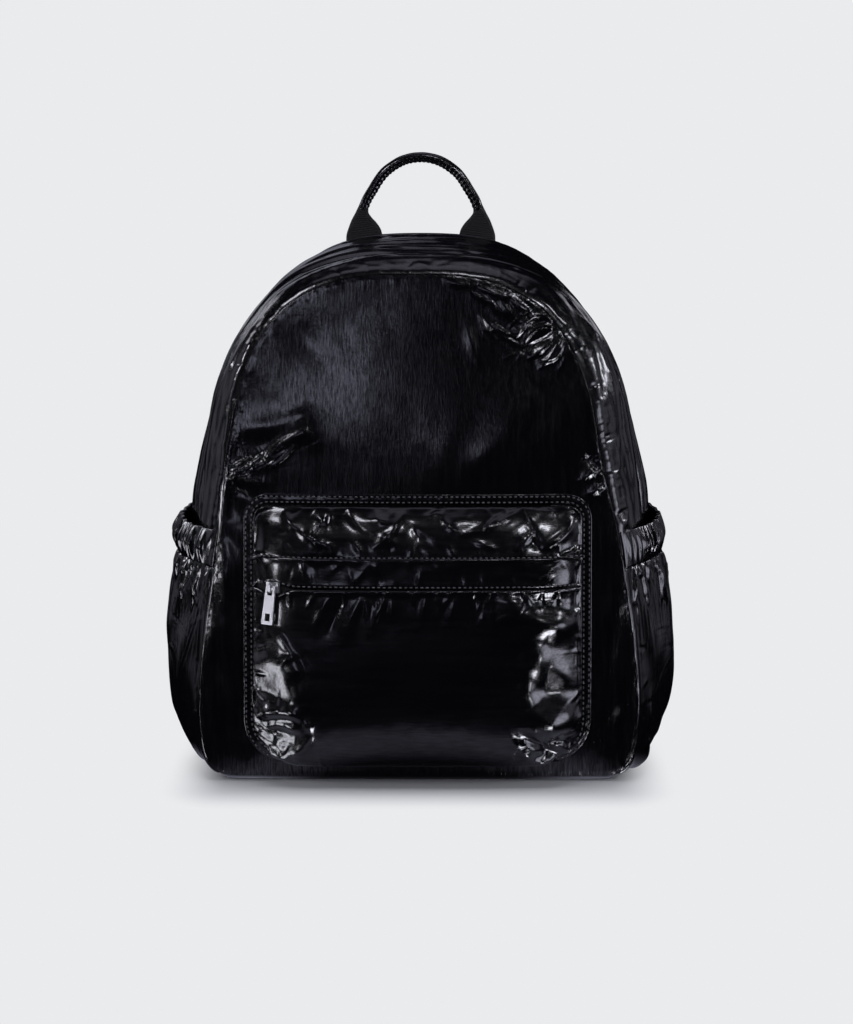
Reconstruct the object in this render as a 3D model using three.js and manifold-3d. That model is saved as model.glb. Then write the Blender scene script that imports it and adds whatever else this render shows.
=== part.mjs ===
// A mini backpack in coated nylon, standing on its base: a soft hollow body of sewn panels with an arched
// zip, a patch pocket with a zip and a metal puller, two elasticated side pockets, a rolled carrying
// handle and two shoulder straps. Millimetres; x runs to the right of someone facing the front, y to the
// back panel, z up. Every cloth piece is a thin wall worked out from the tables below.
import * as THREE from "three";
import Module from "manifold-3d";
import { mergeVertices } from "three/addons/utils/BufferGeometryUtils.js";

const wasm = await Module();
wasm.setup();

const { clamp, degToRad, lerp, smoothstep } = THREE.MathUtils;

// Driving dimensions

const CLOTH = 2; // nylon with its thin wadding
const POCKET_CLOTH = 1.6;
const SEAM_GAP = 0.4; // clear gap between neighbouring pieces
const SEAM_INSET = 2.8; // how far a gusset starts behind the front seam
const END_TRIM = 0.03; // share of a facet left open where two lengths of cloth meet

const FRONT_Y = -52; // seam round the front panel, at the base
const FRONT_SETBACK = 16; // how far that seam leans back at the crown
const ZIP_Y = -8;
const BACK_Y = 55; // outer face of the back panel
const BACK_PAD = 3.5;
const BACK_INSET = 4.3; // how far a gusset stops short of the outer face of the back panel
const BASE_Z = -3.5; // the floor the base rests on
const BASE_TURN = 3; // how high over the floor the base panel ends
const CROWN_Z = 293.5; // highest point of the front seam
const FRONT_CROWN = 9; // how far the front panel swells out of its seam

// The outline of the bag, from the middle of the base round the right side to the middle of the crown:
// the front seam, the line of the main zip and the back seam. The left side is its mirror image.
const STATIONS = [
  { frontX: 0, frontZ: 2, zipX: 0, zipZ: -7.5, backX: 0, backZ: 2 },
  { frontX: 60, frontZ: 2, zipX: 62, zipZ: -7.5, backX: 60, backZ: 2 },
  { frontX: 104, frontZ: 2.5, zipX: 109, zipZ: -6.5, backX: 104, backZ: 2.5 },
  { frontX: 122, frontZ: 10, zipX: 129, zipZ: 5.5, backX: 122, backZ: 10 },
  { frontX: 128.5, frontZ: 31, zipX: 137, zipZ: 29, backX: 129, backZ: 31 },
  { frontX: 126.5, frontZ: 76, zipX: 134.5, zipZ: 77, backX: 130, backZ: 77 },
  { frontX: 119.5, frontZ: 121, zipX: 132, zipZ: 124, backX: 130.5, backZ: 124 },
  { frontX: 113, frontZ: 160, zipX: 130.5, zipZ: 162, backX: 132, backZ: 162 },
  { frontX: 107.5, frontZ: 196, zipX: 124.5, zipZ: 198, backX: 125.5, backZ: 200 },
  { frontX: 103, frontZ: 223, zipX: 118.5, zipZ: 225, backX: 118, backZ: 228 },
  { frontX: 92, frontZ: 252, zipX: 105, zipZ: 254, backX: 104, backZ: 257 },
  { frontX: 71, frontZ: 277.5, zipX: 77.5, zipZ: 284, backX: 79, backZ: 288.5 },
  { frontX: 40, frontZ: 291, zipX: 42, zipZ: 297.5, backX: 47, backZ: 309 },
  { frontX: 0, frontZ: CROWN_Z, zipX: 0, zipZ: 300, backX: 0, backZ: 314 },
];
const CORNER_ROW = 3; // where the outline turns from the base to the side
const SHOULDER_ROW = 10; // where it turns from the side to the crown
const ACROSS_STEPS = 20; // facets along the base, and along the crown
const SIDE_STEPS = 23;

// Main zip, its two strips and the folds that lie along the back strip
const MAIN_ZIP = { tapeHalf: 4.2, recess: 2, coil: 1.4, tape: 1.2, endZ: 128, sliderZ: 138 };
const FRONT_STRIP_PUFF = 4.5;
const BACK_STRIP_PUFF = 3.5;
const BACK_STRIP_FOLD = { count: 1.5, height: 1.1 };

// Folds of the front panel, each a soft ridge, or a dent where its height is below zero
const PANEL_FOLDS = [
  { fromX: -111, fromZ: 172, toX: -62, toZ: 203, width: 6, height: 3.6 },
  { fromX: -108, fromZ: 188, toX: -62, toZ: 214, width: 7, height: -2.2 },
  { fromX: -76, fromZ: 262, toX: -48, toZ: 233, width: 7, height: -2 },
  { fromX: -46, fromZ: 246, toX: -24, toZ: 262, width: 7, height: -1.4 },
  { fromX: 28, fromZ: 180, toX: 69, toZ: 222, width: 7, height: 2.4 },
  { fromX: 8, fromZ: 181, toX: 19, toZ: 222, width: 6, height: 1.6 },
  { fromX: 54, fromZ: 181, toX: 86, toZ: 208, width: 7, height: 1.8 },
  { fromX: 60, fromZ: 262, toX: 84, toZ: 258, width: 6, height: 1.8 },
  { fromX: 52, fromZ: 246, toX: 88, toZ: 240, width: 6, height: -1.4 },
];

// Front pocket: a patch with a flat stitched border, a lower face, a zip under a flap and a puffed band
const POCKET = {
  x: -1,
  half: 102,
  bottomZ: 7.5,
  topZ: 166.5,
  topRadius: 15,
  bottomRadius: 26,
  border: 6.4,
  gap: 0.6,
};
const POCKET_ZIP = { lowZ: 108.6, highZ: 116.4, recess: 2.6, coil: 1.3, tape: 1.1 };
const FLAP = { highZ: 131, proud: 1, cloth: 1.6 };
const POCKET_EDGE_POWER = 5; // how sharply the pocket turns down to its border at the sides
const POCKET_LIFT = [
  { z: 14, lift: 2 },
  { z: 18, lift: 9 },
  { z: 26, lift: 15.5 },
  { z: 40, lift: 19.5 },
  { z: 65, lift: 21 },
  { z: 108, lift: 18.5 },
  { z: 131, lift: 16 },
  { z: 147, lift: 12.5 },
  { z: 156, lift: 7.5 },
  { z: 160.1, lift: 2 },
];
const POCKET_FOLDS = [
  { fromX: 46, fromZ: 106, toX: 62, toZ: 92, width: 5, height: 2.2 },
  { fromX: 62, fromZ: 92, toX: 88, toZ: 84, width: 5, height: 2.2 },
  { fromX: 66, fromZ: 52, toX: 92, toZ: 64, width: 6, height: 2 },
  { fromX: 64, fromZ: 26, toX: 84, toZ: 34, width: 5, height: 1.8 },
  { fromX: -90, fromZ: 36, toX: -68, toZ: 44, width: 5, height: 2 },
  { fromX: -84, fromZ: 84, toX: -71, toZ: 70, width: 4, height: 1.8 },
  { fromX: -74, fromZ: 156, toX: -66, toZ: 143, width: 4, height: 1.8 },
  { fromX: -62, fromZ: 140, toX: -46, toZ: 136, width: 4, height: 1.5 },
  { fromX: -12, fromZ: 154, toX: -20, toZ: 138, width: 4, height: 1.6 },
  { fromX: 8, fromZ: 142, toX: 30, toZ: 153, width: 4, height: 1.4 },
  { fromX: 50, fromZ: 144, toX: 72, toZ: 155, width: 4, height: 1.5 },
  { fromX: 78, fromZ: 136, toX: 90, toZ: 149, width: 4, height: 1.8 },
];

// Zip slider and puller of the front pocket
const SLIDER = { x: -83, above: 0.8, length: 8, height: 6, body: 2.4, lift: 0.6 };
const STAPLE = { wide: 1.4, reach: 4.2, wire: 1.1, chamfer: 1, sunk: 0.2 };
const PULLER = { topWide: 6, bottomWide: 7.4, length: 22.8, thick: 1.3, corner: 1, chamfer: 0.5 };
const PULLER_HANG = { out: 1.5, up: 0.65 }; // where it swings, from the top of the slider's block
const PULLER_EYE = { wide: 3, high: 4.4 };
const PULLER_SLOT = { wide: 3.2, high: 4.4, fromEnd: 2 };
const PULLER_TILT = degToRad(6); // it hangs with its tip held off by the swell of the pocket
const PULLER_LEAN = degToRad(4); // and leans a little to the side

// Side pockets: how far they stand off the gusset at the middle of their depth, by height
const SIDE_PUFF = [
  { z: -1.5, puff: 1 },
  { z: 7, puff: 3.6 },
  { z: 29, puff: 6.6 },
  { z: 76, puff: 13.5 },
  { z: 108, puff: 12.2 },
  { z: 126, puff: 9.4 },
  { z: 140, puff: 9.8 },
  { z: 156, puff: 8 },
];
const SIDE_POCKET = { lowZ: -0.3, gap: 0.9, floorGap: 0.8, mouthDip: 0.35, round: 0.62 };
const BAND = { lowZ: 126, high: 22 };
const SIDE_MARGIN = 0.03; // share of the depth kept clear of the seams at the front and the back
const GATHER = { pleats: 9, band: 1, pocket: 1.1, fade: 24 };
const BAND_ROLL = 1.8; // how far the gathered band bulges over its own edges

// Carrying handle: half of its centre line, from the foot on the back panel to the top
const HANDLE_Y = BACK_Y + 2.2;
const GRIP_RADIUS = 3.2;
const FOOT_PATH = [
  { x: 35, z: 297, half: 10.5, thick: 1.2 },
  { x: 35, z: 309, half: 10.5, thick: 1.2 },
  { x: 35.6, z: 316, half: 8, thick: 1.4 },
  { x: 36, z: 322, half: 5, thick: 2.1 },
  { x: 35.7, z: 326.4, half: 3.6, thick: 2.6 },
];
const GRIP_PATH = [
  { x: 35.4, z: 327.9 },
  { x: 33, z: 334 },
  { x: 28.8, z: 341 },
  { x: 22.6, z: 350 },
  { x: 12, z: 357.4 },
  { x: 0, z: 359.8 },
];

// Shoulder straps: centre line from the crown to the foot of the back panel, standing off by "off"
const STRAP_PATH = [
  { x: 33, off: 4.6, z: 294 },
  { x: 37, off: 11, z: 264 },
  { x: 47, off: 24, z: 216 },
  { x: 60, off: 31, z: 166 },
  { x: 73, off: 30, z: 119 },
  { x: 86, off: 22, z: 76 },
  { x: 99, off: 11, z: 42 },
  { x: 109, off: 1.4, z: 16 },
];
const STRAP = { half: 23, endHalf: 11.5, thick: 4, end: 0.66, join: 0.075, steps: 12 };
const WEBBING = { half: 10, thick: 0.8, steps: 7 };
const ADJUSTER = { wide: 27, high: 20.6, thick: 3, windowWide: 21.5, windowHigh: 5.4, windowAt: 4.6 };

// Small helpers

const mirrored = (p) => new THREE.Vector3(-p.x, p.y, p.z);
const steps = (count, make) => Array.from({ length: count + 1 }, (_, i) => make(i / count, i));

// A smooth curve through two columns of a table.
function profile(rows, at, value) {
  const places = rows.map((row) => row[at]);
  const values = rows.map((row) => row[value]);
  const curve = new THREE.CubicInterpolant(places, values, 1);
  return (t) => curve.evaluate(clamp(t, places[0], places.at(-1)))[0];
}

// Rows of points: u runs along the rows and v across them.
function grid(rowSteps, columnSteps, point) {
  return steps(rowSteps, (u) => steps(columnSteps, (v) => point(u, v)));
}

// The other side of a symmetric piece, with its rows turned round so that it still faces out.
const mirroredGrid = (rows) => rows.map((row) => row.map(mirrored)).reverse();

// The outward direction at each point of a grid: across the columns, then along the rows.
function outward(rows, closed) {
  const last = rows.length - 1;
  return rows.map((row, i) =>
    row.map((_, j) => {
      const before = closed ? rows[(i + last) % (last + 1)] : rows[Math.max(i - 1, 0)];
      const after = closed ? rows[(i + 1) % (last + 1)] : rows[Math.min(i + 1, last)];
      const across = row[Math.min(j + 1, row.length - 1)].clone().sub(row[Math.max(j - 1, 0)]);
      return across.cross(after[j].clone().sub(before[j])).normalize();
    }),
  );
}

// A wall of even thickness: the grid is its outer face, and closed joins the last row to the first.
function wall(rows, thickness, closed = false, normals = outward(rows, closed)) {
  const columns = rows[0].length;
  const inside = rows.length * columns;
  const points = rows.flat();
  rows.forEach((row, i) =>
    row.forEach((p, j) => points.push(p.clone().addScaledVector(normals[i][j], -thickness))),
  );
  const index = [];
  const at = (i, j) => (i % rows.length) * columns + j;
  const spans = closed ? rows.length : rows.length - 1;
  const edge = (a, b) => index.push(b, a, a + inside, b, a + inside, b + inside);
  for (let i = 0; i < spans; i++) {
    for (let j = 0; j < columns - 1; j++) {
      const [a, b, c, d] = [at(i, j), at(i, j + 1), at(i + 1, j + 1), at(i + 1, j)];
      index.push(a, b, c, a, c, d);
      index.push(a + inside, c + inside, b + inside, a + inside, d + inside, c + inside);
    }
    edge(at(i + 1, 0), at(i, 0));
    edge(at(i, columns - 1), at(i + 1, columns - 1));
  }
  for (let j = 0; j < columns - 1 && !closed; j++) {
    edge(at(0, j), at(0, j + 1));
    edge(at(spans, j + 1), at(spans, j));
  }
  return new THREE.BufferGeometry().setFromPoints(points).setIndex(index);
}

// A closed bar along a line of points. Each section is an oval, or a rounded oblong where its power is
// above 2, as wide as "half" says in the plane that faces the back and as thick as "thick" says.
function bar(path, sizes, sides, power = 2) {
  const facing = new THREE.Vector3(0, 1, 0);
  const points = [];
  path.forEach((p, i) => {
    const before = path[Math.max(i - 1, 0)];
    const after = path[Math.min(i + 1, path.length - 1)];
    const along = after.clone().sub(before).normalize();
    const across = along.clone().cross(facing).normalize();
    const through = across.clone().cross(along);
    for (let k = 0; k < sides; k++) {
      const turn = (2 * Math.PI * k) / sides;
      const round = (c) => Math.sign(c) * Math.abs(c) ** (2 / power);
      points.push(
        p.clone()
          .addScaledVector(across, sizes[i].half * round(Math.cos(turn)))
          .addScaledVector(through, sizes[i].thick * round(Math.sin(turn))),
      );
    }
  });
  const end = points.length;
  points.push(path[0].clone(), path.at(-1).clone());
  const index = [];
  for (let k = 0; k < sides; k++) {
    const next = (k + 1) % sides;
    for (let i = 0; i < path.length - 1; i++) {
      const [a, b] = [i * sides + k, i * sides + next];
      index.push(a, a + sides, b + sides, a, b + sides, b);
    }
    const tip = (path.length - 1) * sides;
    index.push(end, k, next, end + 1, tip + next, tip + k);
  }
  return new THREE.BufferGeometry().setFromPoints(points).setIndex(index);
}

// Height of all the folds of a table at one place on a panel.
function foldHeight(folds, x, z) {
  return folds.reduce((sum, fold) => {
    const [runX, runZ] = [fold.toX - fold.fromX, fold.toZ - fold.fromZ];
    const length = Math.hypot(runX, runZ);
    const along = ((x - fold.fromX) * runX + (z - fold.fromZ) * runZ) / length;
    const aside = ((x - fold.fromX) * runZ - (z - fold.fromZ) * runX) / length;
    const past = Math.max(-along, along - length, 0);
    return sum + fold.height * Math.exp(-(aside ** 2 + past ** 2) / fold.width ** 2);
  }, 0);
}

function solidOf(geometry) {
  const bare = geometry.clone().deleteAttribute("normal").deleteAttribute("uv");
  const merged = mergeVertices(bare, 1e-4);
  const vertProperties = new Float32Array(merged.attributes.position.array);
  const triVerts = new Uint32Array(merged.index.array);
  return new wasm.Manifold(new wasm.Mesh({ numProp: 3, vertProperties, triVerts }));
}

function geometryOf(solid) {
  const mesh = solid.getMesh();
  return new THREE.BufferGeometry()
    .setAttribute("position", new THREE.BufferAttribute(mesh.vertProperties, 3))
    .setIndex(new THREE.BufferAttribute(mesh.triVerts, 1));
}

// Materials

const finishes = {
  nylon: { color: 0x0b0b10, roughness: 0.22, metalness: 0 },
  lining: { color: 0x0d0d11, roughness: 0.6, metalness: 0 },
  webbing: { color: 0x0c0c0f, roughness: 0.75, metalness: 0 },
  zip: { color: 0x08080a, roughness: 0.5, metalness: 0 },
  plastic: { color: 0x0a0a0b, roughness: 0.4, metalness: 0 },
  nickel: { color: 0xd4d5d8, roughness: 0.25, metalness: 1 },
};

const bag = new THREE.Group();

function add(name, finish, geometry, parent = bag) {
  const mesh = new THREE.Mesh(geometry, new THREE.MeshStandardMaterial(finishes[finish]));
  mesh.name = name;
  parent.add(mesh);
  return mesh;
}

// Body: the three outlines

const frontSeamY = (z) => FRONT_Y + FRONT_SETBACK * Math.max(z / CROWN_Z, 0) ** 2;

// One outline as a ring of points, from the lower left corner along the base, up the right side, over the
// crown and down the left side, with the same number of facets in each stretch.
function outline(name, depth) {
  const right = STATIONS.map((row) => {
    const z = row[name + "Z"];
    return new THREE.Vector3(row[name + "X"], depth(z), z);
  });
  const around = [...right, ...right.slice(1, -1).reverse().map(mirrored)];
  const curve = new THREE.CatmullRomCurve3(around, true, "centripetal");
  const stretch = (from, to, count) => {
    const fine = steps(8 * count, (t) => curve.getPoint(lerp(from, to, t) / around.length));
    return new THREE.CatmullRomCurve3(fine).getSpacedPoints(count).slice(0, -1);
  };
  const whole = around.length;
  return [
    ...stretch(-CORNER_ROW, CORNER_ROW, ACROSS_STEPS),
    ...stretch(CORNER_ROW, SHOULDER_ROW, SIDE_STEPS),
    ...stretch(SHOULDER_ROW, whole - SHOULDER_ROW, ACROSS_STEPS),
    ...stretch(whole - SHOULDER_ROW, whole - CORNER_ROW, SIDE_STEPS),
  ];
}

const frontRing = outline("front", frontSeamY);
const zipRing = outline("zip", () => ZIP_Y);
const backRing = outline("back", () => BACK_Y);
const RING = frontRing.length;
const TOP_RIGHT = ACROSS_STEPS + SIDE_STEPS;
const TOP_LEFT = TOP_RIGHT + ACROSS_STEPS;

// A point at a fractional place on a ring.
function ringPoint(ring, place) {
  const low = Math.floor(place);
  return ring[(low + RING) % RING].clone().lerp(ring[(low + 1 + RING) % RING], place - low);
}

// The place on the right half of the ring where the zip line has a given height.
function placeAt(z) {
  let [low, high] = [ACROSS_STEPS / 2, TOP_RIGHT];
  for (let i = 0; i < 40; i++) {
    const middle = (low + high) / 2;
    if (ringPoint(zipRing, middle).z < z) low = middle;
    else high = middle;
  }
  return low;
}

const mirrorPlace = (place) => RING + ACROSS_STEPS - place;

// A ring point moved towards another by a distance.
function moved(from, to, distance) {
  const way = to.clone().sub(from).normalize();
  return from.clone().addScaledVector(way, distance);
}

// Front panel: a sheet stretched over the front outline, swollen forwards, with its folds

const rightSeam = frontRing.slice(ACROSS_STEPS, TOP_RIGHT + ACROSS_STEPS / 2 + 1);
function frontHalf(z) {
  const above = rightSeam.findIndex((p) => p.z > z);
  if (above <= 0) return above < 0 ? 1 : rightSeam[0].x;
  const [low, high] = [rightSeam[above - 1], rightSeam[above]];
  return lerp(low.x, high.x, (z - low.z) / (high.z - low.z));
}

function frontPanelY(x, z) {
  const lowZ = STATIONS[0].frontZ;
  const across = clamp(1 - (x / frontHalf(z)) ** 2, 0, 1);
  const along = clamp(1 - Math.abs((2 * (z - lowZ)) / (CROWN_Z - lowZ) - 1) ** 6, 0, 1);
  const swell = (across * along) ** 0.6;
  const folds = foldHeight(PANEL_FOLDS, x, z) * smoothstep(across * along, 0, 0.25);
  return frontSeamY(z) - FRONT_CROWN * swell - folds;
}

function stretchedOver(ring, depth) {
  const low = (v) => ringPoint(ring, v * ACROSS_STEPS);
  const high = (v) => ringPoint(ring, TOP_LEFT - v * ACROSS_STEPS);
  const right = (u) => ringPoint(ring, ACROSS_STEPS + u * SIDE_STEPS);
  const left = (u) => ringPoint(ring, RING - u * SIDE_STEPS);
  return grid(SIDE_STEPS, ACROSS_STEPS, (u, v) => {
    const p = new THREE.Vector3();
    p.addScaledVector(left(u), 1 - v).addScaledVector(right(u), v);
    p.addScaledVector(low(v), 1 - u).addScaledVector(high(v), u);
    p.addScaledVector(low(0), -(1 - u) * (1 - v)).addScaledVector(low(1), -(1 - u) * v);
    p.addScaledVector(high(0), -u * (1 - v)).addScaledVector(high(1), -u * v);
    const onSeam = u === 0 || u === 1 || v === 0 || v === 1;
    return onSeam ? p : p.setY(depth(p.x, p.z));
  });
}

add("front_panel", "nylon", wall(stretchedOver(frontRing, frontPanelY), CLOTH));

// Back panel: a flat padded board of cloth

const backShape = new THREE.Shape(backRing.map((p) => new THREE.Vector2(p.x, p.z)));
const backBoard = new THREE.ExtrudeGeometry(backShape, { depth: BACK_PAD, bevelEnabled: false });
add("back_panel", "lining", backBoard.rotateX(Math.PI / 2).translate(0, BACK_Y, 0));

// Gusset below the zip: one curved sheet from the front seam to the back seam, in three pieces

// A point on the outer face of the lower gusset. Depth runs from 0 at the front seam to 1 at the back.
function gussetPoint(place, depth) {
  const middle = ringPoint(zipRing, place);
  const front = moved(ringPoint(frontRing, place), middle, SEAM_INSET);
  const back = moved(ringPoint(backRing, place), middle, BACK_INSET);
  const p = new THREE.Vector3();
  p.addScaledVector(front, (1 - depth) * (1 - 2 * depth));
  p.addScaledVector(middle, 4 * depth * (1 - depth));
  p.addScaledVector(back, depth * (2 * depth - 1));
  return p.setZ(Math.max(p.z, BASE_Z));
}

const zipEnd = placeAt(MAIN_ZIP.endZ);
const baseEnd = placeAt(BASE_Z + BASE_TURN);
const GUSSET_COLUMNS = 6;

// Ring places from one end to the other: the two ends and every whole facet between them.
function places(from, to) {
  const inner = [];
  for (let i = Math.ceil(from + 0.3); i <= Math.floor(to - 0.3); i++) inner.push(i);
  return [from, ...inner, to];
}

// The outward direction of the lower gusset.
function gussetOut(place, depth) {
  const across = gussetPoint(place, depth + 0.05).sub(gussetPoint(place, depth - 0.05));
  return across.cross(gussetPoint(place + 0.4, depth).sub(gussetPoint(place - 0.4, depth))).normalize();
}

// One length of the lower gusset.
function gussetWall(from, to) {
  const along = places(from, to);
  const over = (make) => along.map((place) => steps(GUSSET_COLUMNS, (depth) => make(place, depth)));
  return wall(over(gussetPoint), CLOTH, false, over(gussetOut));
}

add("base_panel", "nylon", gussetWall(mirrorPlace(baseEnd) - RING, baseEnd));
add("side_gusset_right", "nylon", gussetWall(baseEnd + END_TRIM, zipEnd - END_TRIM));
const [leftTop, leftLow] = [mirrorPlace(zipEnd), mirrorPlace(baseEnd)];
add("side_gusset_left", "nylon", gussetWall(leftTop + END_TRIM, leftLow - END_TRIM));

// Main zip: two puffed strips with the coil in the groove between them

// A strip of cloth along the crown between two edges, swelling outwards between them.
function crownStrip(edges, columns, swell) {
  return places(zipEnd + END_TRIM, mirrorPlace(zipEnd) - END_TRIM).map((place) => {
    const [from, to, away] = edges(place);
    return steps(columns, (t) => from.clone().lerp(to, t).addScaledVector(away, swell(t)));
  });
}

// Outward direction of the crown at a place on the ring, square to the line from front to back.
function crownOut(place, from, to) {
  const along = ringPoint(zipRing, place + 0.5).sub(ringPoint(zipRing, place - 0.5));
  return to.clone().sub(from).cross(along).normalize();
}

const lip = MAIN_ZIP.tapeHalf + SEAM_GAP;
const frontStripRows = crownStrip(
  (place) => {
    const zip = ringPoint(zipRing, place);
    const seam = ringPoint(frontRing, place);
    return [moved(seam, zip, SEAM_INSET), moved(zip, seam, lip), crownOut(place, seam, zip)];
  },
  3,
  (t) => FRONT_STRIP_PUFF * Math.sin(Math.PI * t) ** 0.8,
);
add("zip_strip_front", "nylon", wall(frontStripRows, CLOTH));

const backStripRows = crownStrip(
  (place) => {
    const zip = ringPoint(zipRing, place);
    const seam = ringPoint(backRing, place);
    return [moved(zip, seam, lip), moved(seam, zip, BACK_INSET), crownOut(place, zip, seam)];
  },
  4,
  (t) => {
    const fold = BACK_STRIP_FOLD.height * Math.sin(2 * Math.PI * BACK_STRIP_FOLD.count * t);
    return Math.sin(Math.PI * t) * (BACK_STRIP_PUFF + fold);
  },
);
add("zip_strip_back", "nylon", wall(backStripRows, CLOTH));

const zipRows = places(zipEnd + END_TRIM, mirrorPlace(zipEnd) - END_TRIM).map((place) => {
  const [seam, back] = [ringPoint(frontRing, place), ringPoint(backRing, place)];
  const zip = ringPoint(zipRing, place);
  const out = crownOut(place, seam, back);
  const line = back.sub(seam).normalize();
  return [-1, 0, 1].map((aside) => {
    const level = (aside === 0 ? MAIN_ZIP.coil : 0) - MAIN_ZIP.recess;
    return zip.clone().addScaledVector(line, aside * MAIN_ZIP.tapeHalf).addScaledVector(out, level);
  });
});
add("main_zip", "zip", wall(zipRows, MAIN_ZIP.tape));

// Front pocket

const pocketLift = profile(POCKET_LIFT, "z", "lift");
const borderLevel = POCKET.gap + POCKET_CLOTH;

// Rounded outline of the pocket, taken in by a margin, as a ring of points.
function pocketRing(margin) {
  const half = POCKET.half - margin;
  const [low, high] = [POCKET.bottomZ + margin, POCKET.topZ - margin];
  const [lowRound, highRound] = [POCKET.bottomRadius - margin, POCKET.topRadius - margin];
  const edge = (x0, z0, x1, z1, count) =>
    steps(count, (t) => [lerp(x0, x1, t), lerp(z0, z1, t)]).slice(0, -1);
  const corner = (x, z, radius, start) =>
    steps(4, (t) => {
      const turn = start + (t * Math.PI) / 2;
      return [x + radius * Math.cos(turn), z + radius * Math.sin(turn)];
    }).slice(0, -1);
  return [
    ...edge(-half + lowRound, low, half - lowRound, low, 8),
    ...corner(half - lowRound, low + lowRound, lowRound, -Math.PI / 2),
    ...edge(half, low + lowRound, half, high - highRound, 7),
    ...corner(half - highRound, high - highRound, highRound, 0),
    ...edge(half - highRound, high, -half + highRound, high, 8),
    ...corner(-half + highRound, high - highRound, highRound, Math.PI / 2),
    ...edge(-half, high - highRound, -half, low + lowRound, 7),
    ...corner(-half + lowRound, low + lowRound, lowRound, Math.PI),
  ];
}

const onFront = ([x, z], lift) => new THREE.Vector3(POCKET.x + x, frontPanelY(POCKET.x + x, z) - lift, z);
const borderOuter = pocketRing(0);
const borderInner = pocketRing(POCKET.border);
const borderRows = borderOuter.map((outer, i) =>
  [borderInner[i], outer].map((place) => onFront(place, borderLevel)),
);
add("pocket_border", "nylon", wall(borderRows, POCKET_CLOTH, true));

// Half width of the pocket inside its border at a height.
function pocketHalf(z) {
  const margin = POCKET.border + SEAM_GAP;
  const half = POCKET.half - margin;
  const round = (radius, into) => {
    const short = clamp(radius - into, 0, radius);
    return radius - Math.sqrt(radius ** 2 - short ** 2);
  };
  const low = round(POCKET.bottomRadius - margin, z - POCKET.bottomZ - margin);
  const high = round(POCKET.topRadius - margin, POCKET.topZ - margin - z);
  return half - low - high;
}

// A point on the swollen face of the pocket. Side runs from -1 at the left edge to 1 at the right.
function pocketPoint(side, z, raise = 0) {
  const x = side * pocketHalf(z);
  const swell = (1 - Math.abs(side) ** POCKET_EDGE_POWER) ** 0.6;
  const folds = foldHeight(POCKET_FOLDS, x, z) * smoothstep(swell, 0, 0.6);
  return onFront([x, z], borderLevel + (pocketLift(z) - borderLevel + raise) * swell + folds);
}

const POCKET_COLUMNS = 18;
// Columns stand closer together towards the two ends, where the pocket turns down.
const pocketSide = (v) => Math.sin((v - 0.5) * Math.PI) * 0.45 + (2 * v - 1) * 0.55;
const pocketRows = (heights, raise) =>
  heights.map((z) => steps(POCKET_COLUMNS, (v) => pocketPoint(pocketSide(v), z, raise)));
const spread = (low, high, count) => steps(count, (t) => lerp(low, high, t));

const faceLow = POCKET.bottomZ + POCKET.border + SEAM_GAP;
const faceTurn = steps(4, (t) => faceLow + 20 * t ** 1.6);
const faceHeights = [...faceTurn, ...spread(44, POCKET_ZIP.lowZ - SEAM_GAP, 6)];
add("pocket_face", "nylon", wall(pocketRows(faceHeights, 0), POCKET_CLOTH));

const flapLow = POCKET_ZIP.highZ + SEAM_GAP;
add("pocket_zip_flap", "nylon", wall(pocketRows(spread(flapLow, FLAP.highZ, 2), FLAP.proud), FLAP.cloth));

const puffedHeights = spread(FLAP.highZ + SEAM_GAP, POCKET.topZ - POCKET.border - SEAM_GAP, 4);
add("pocket_top_band", "nylon", wall(pocketRows(puffedHeights, 0), POCKET_CLOTH));

const zipMiddle = (POCKET_ZIP.lowZ + POCKET_ZIP.highZ) / 2;
const zipHeights = [POCKET_ZIP.lowZ, zipMiddle - 1.3, zipMiddle + 1.3, POCKET_ZIP.highZ];
const pocketZipRows = zipHeights.map((z, i) => {
  const raised = i === 1 || i === 2 ? POCKET_ZIP.coil : 0;
  return pocketRows([z], raised - POCKET_ZIP.recess)[0];
});
add("pocket_zip", "zip", wall(pocketZipRows, POCKET_ZIP.tape));

// Zip sliders and the puller

// A plain slider: a block that rides on the coil with a staple over it, across the zip. The block's length
// runs along x, its height along z, and it stands out towards -y from the coil at its origin.
function slider() {
  const block = new THREE.BoxGeometry(SLIDER.length, SLIDER.body, SLIDER.height);
  block.translate(0, -SLIDER.lift - SLIDER.body / 2, 0);
  const corners = (list) => list.map(([x, y]) => new THREE.Vector2(x, y));
  const { wire, reach, chamfer } = STAPLE;
  const half = SLIDER.height / 2;
  const shoulder = [[half, reach - chamfer], [half - chamfer, reach]];
  const mirrorShoulder = [[chamfer - half, reach], [-half, reach - chamfer]];
  const staple = new THREE.Shape(corners([[-half, 0], [half, 0], ...shoulder, ...mirrorShoulder]));
  const [inHalf, inReach, inLow] = [half - wire, reach - wire, 2 * STAPLE.sunk];
  const inside = [[-inHalf, inLow], [-inHalf, inReach], [inHalf, inReach], [inHalf, inLow]];
  staple.holes.push(new THREE.Path(corners(inside)));
  const arch = new THREE.ExtrudeGeometry(staple, { depth: STAPLE.wide, bevelEnabled: false });
  const [x, y, z] = [new THREE.Vector3(0, 0, 1), new THREE.Vector3(0, -1, 0), new THREE.Vector3(1, 0, 0)];
  arch.applyMatrix4(new THREE.Matrix4().makeBasis(x, y, z));
  arch.translate(-STAPLE.wide / 2, -SLIDER.lift - SLIDER.body + STAPLE.sunk, 0);
  return geometryOf(solidOf(block).add(solidOf(arch)));
}

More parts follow.
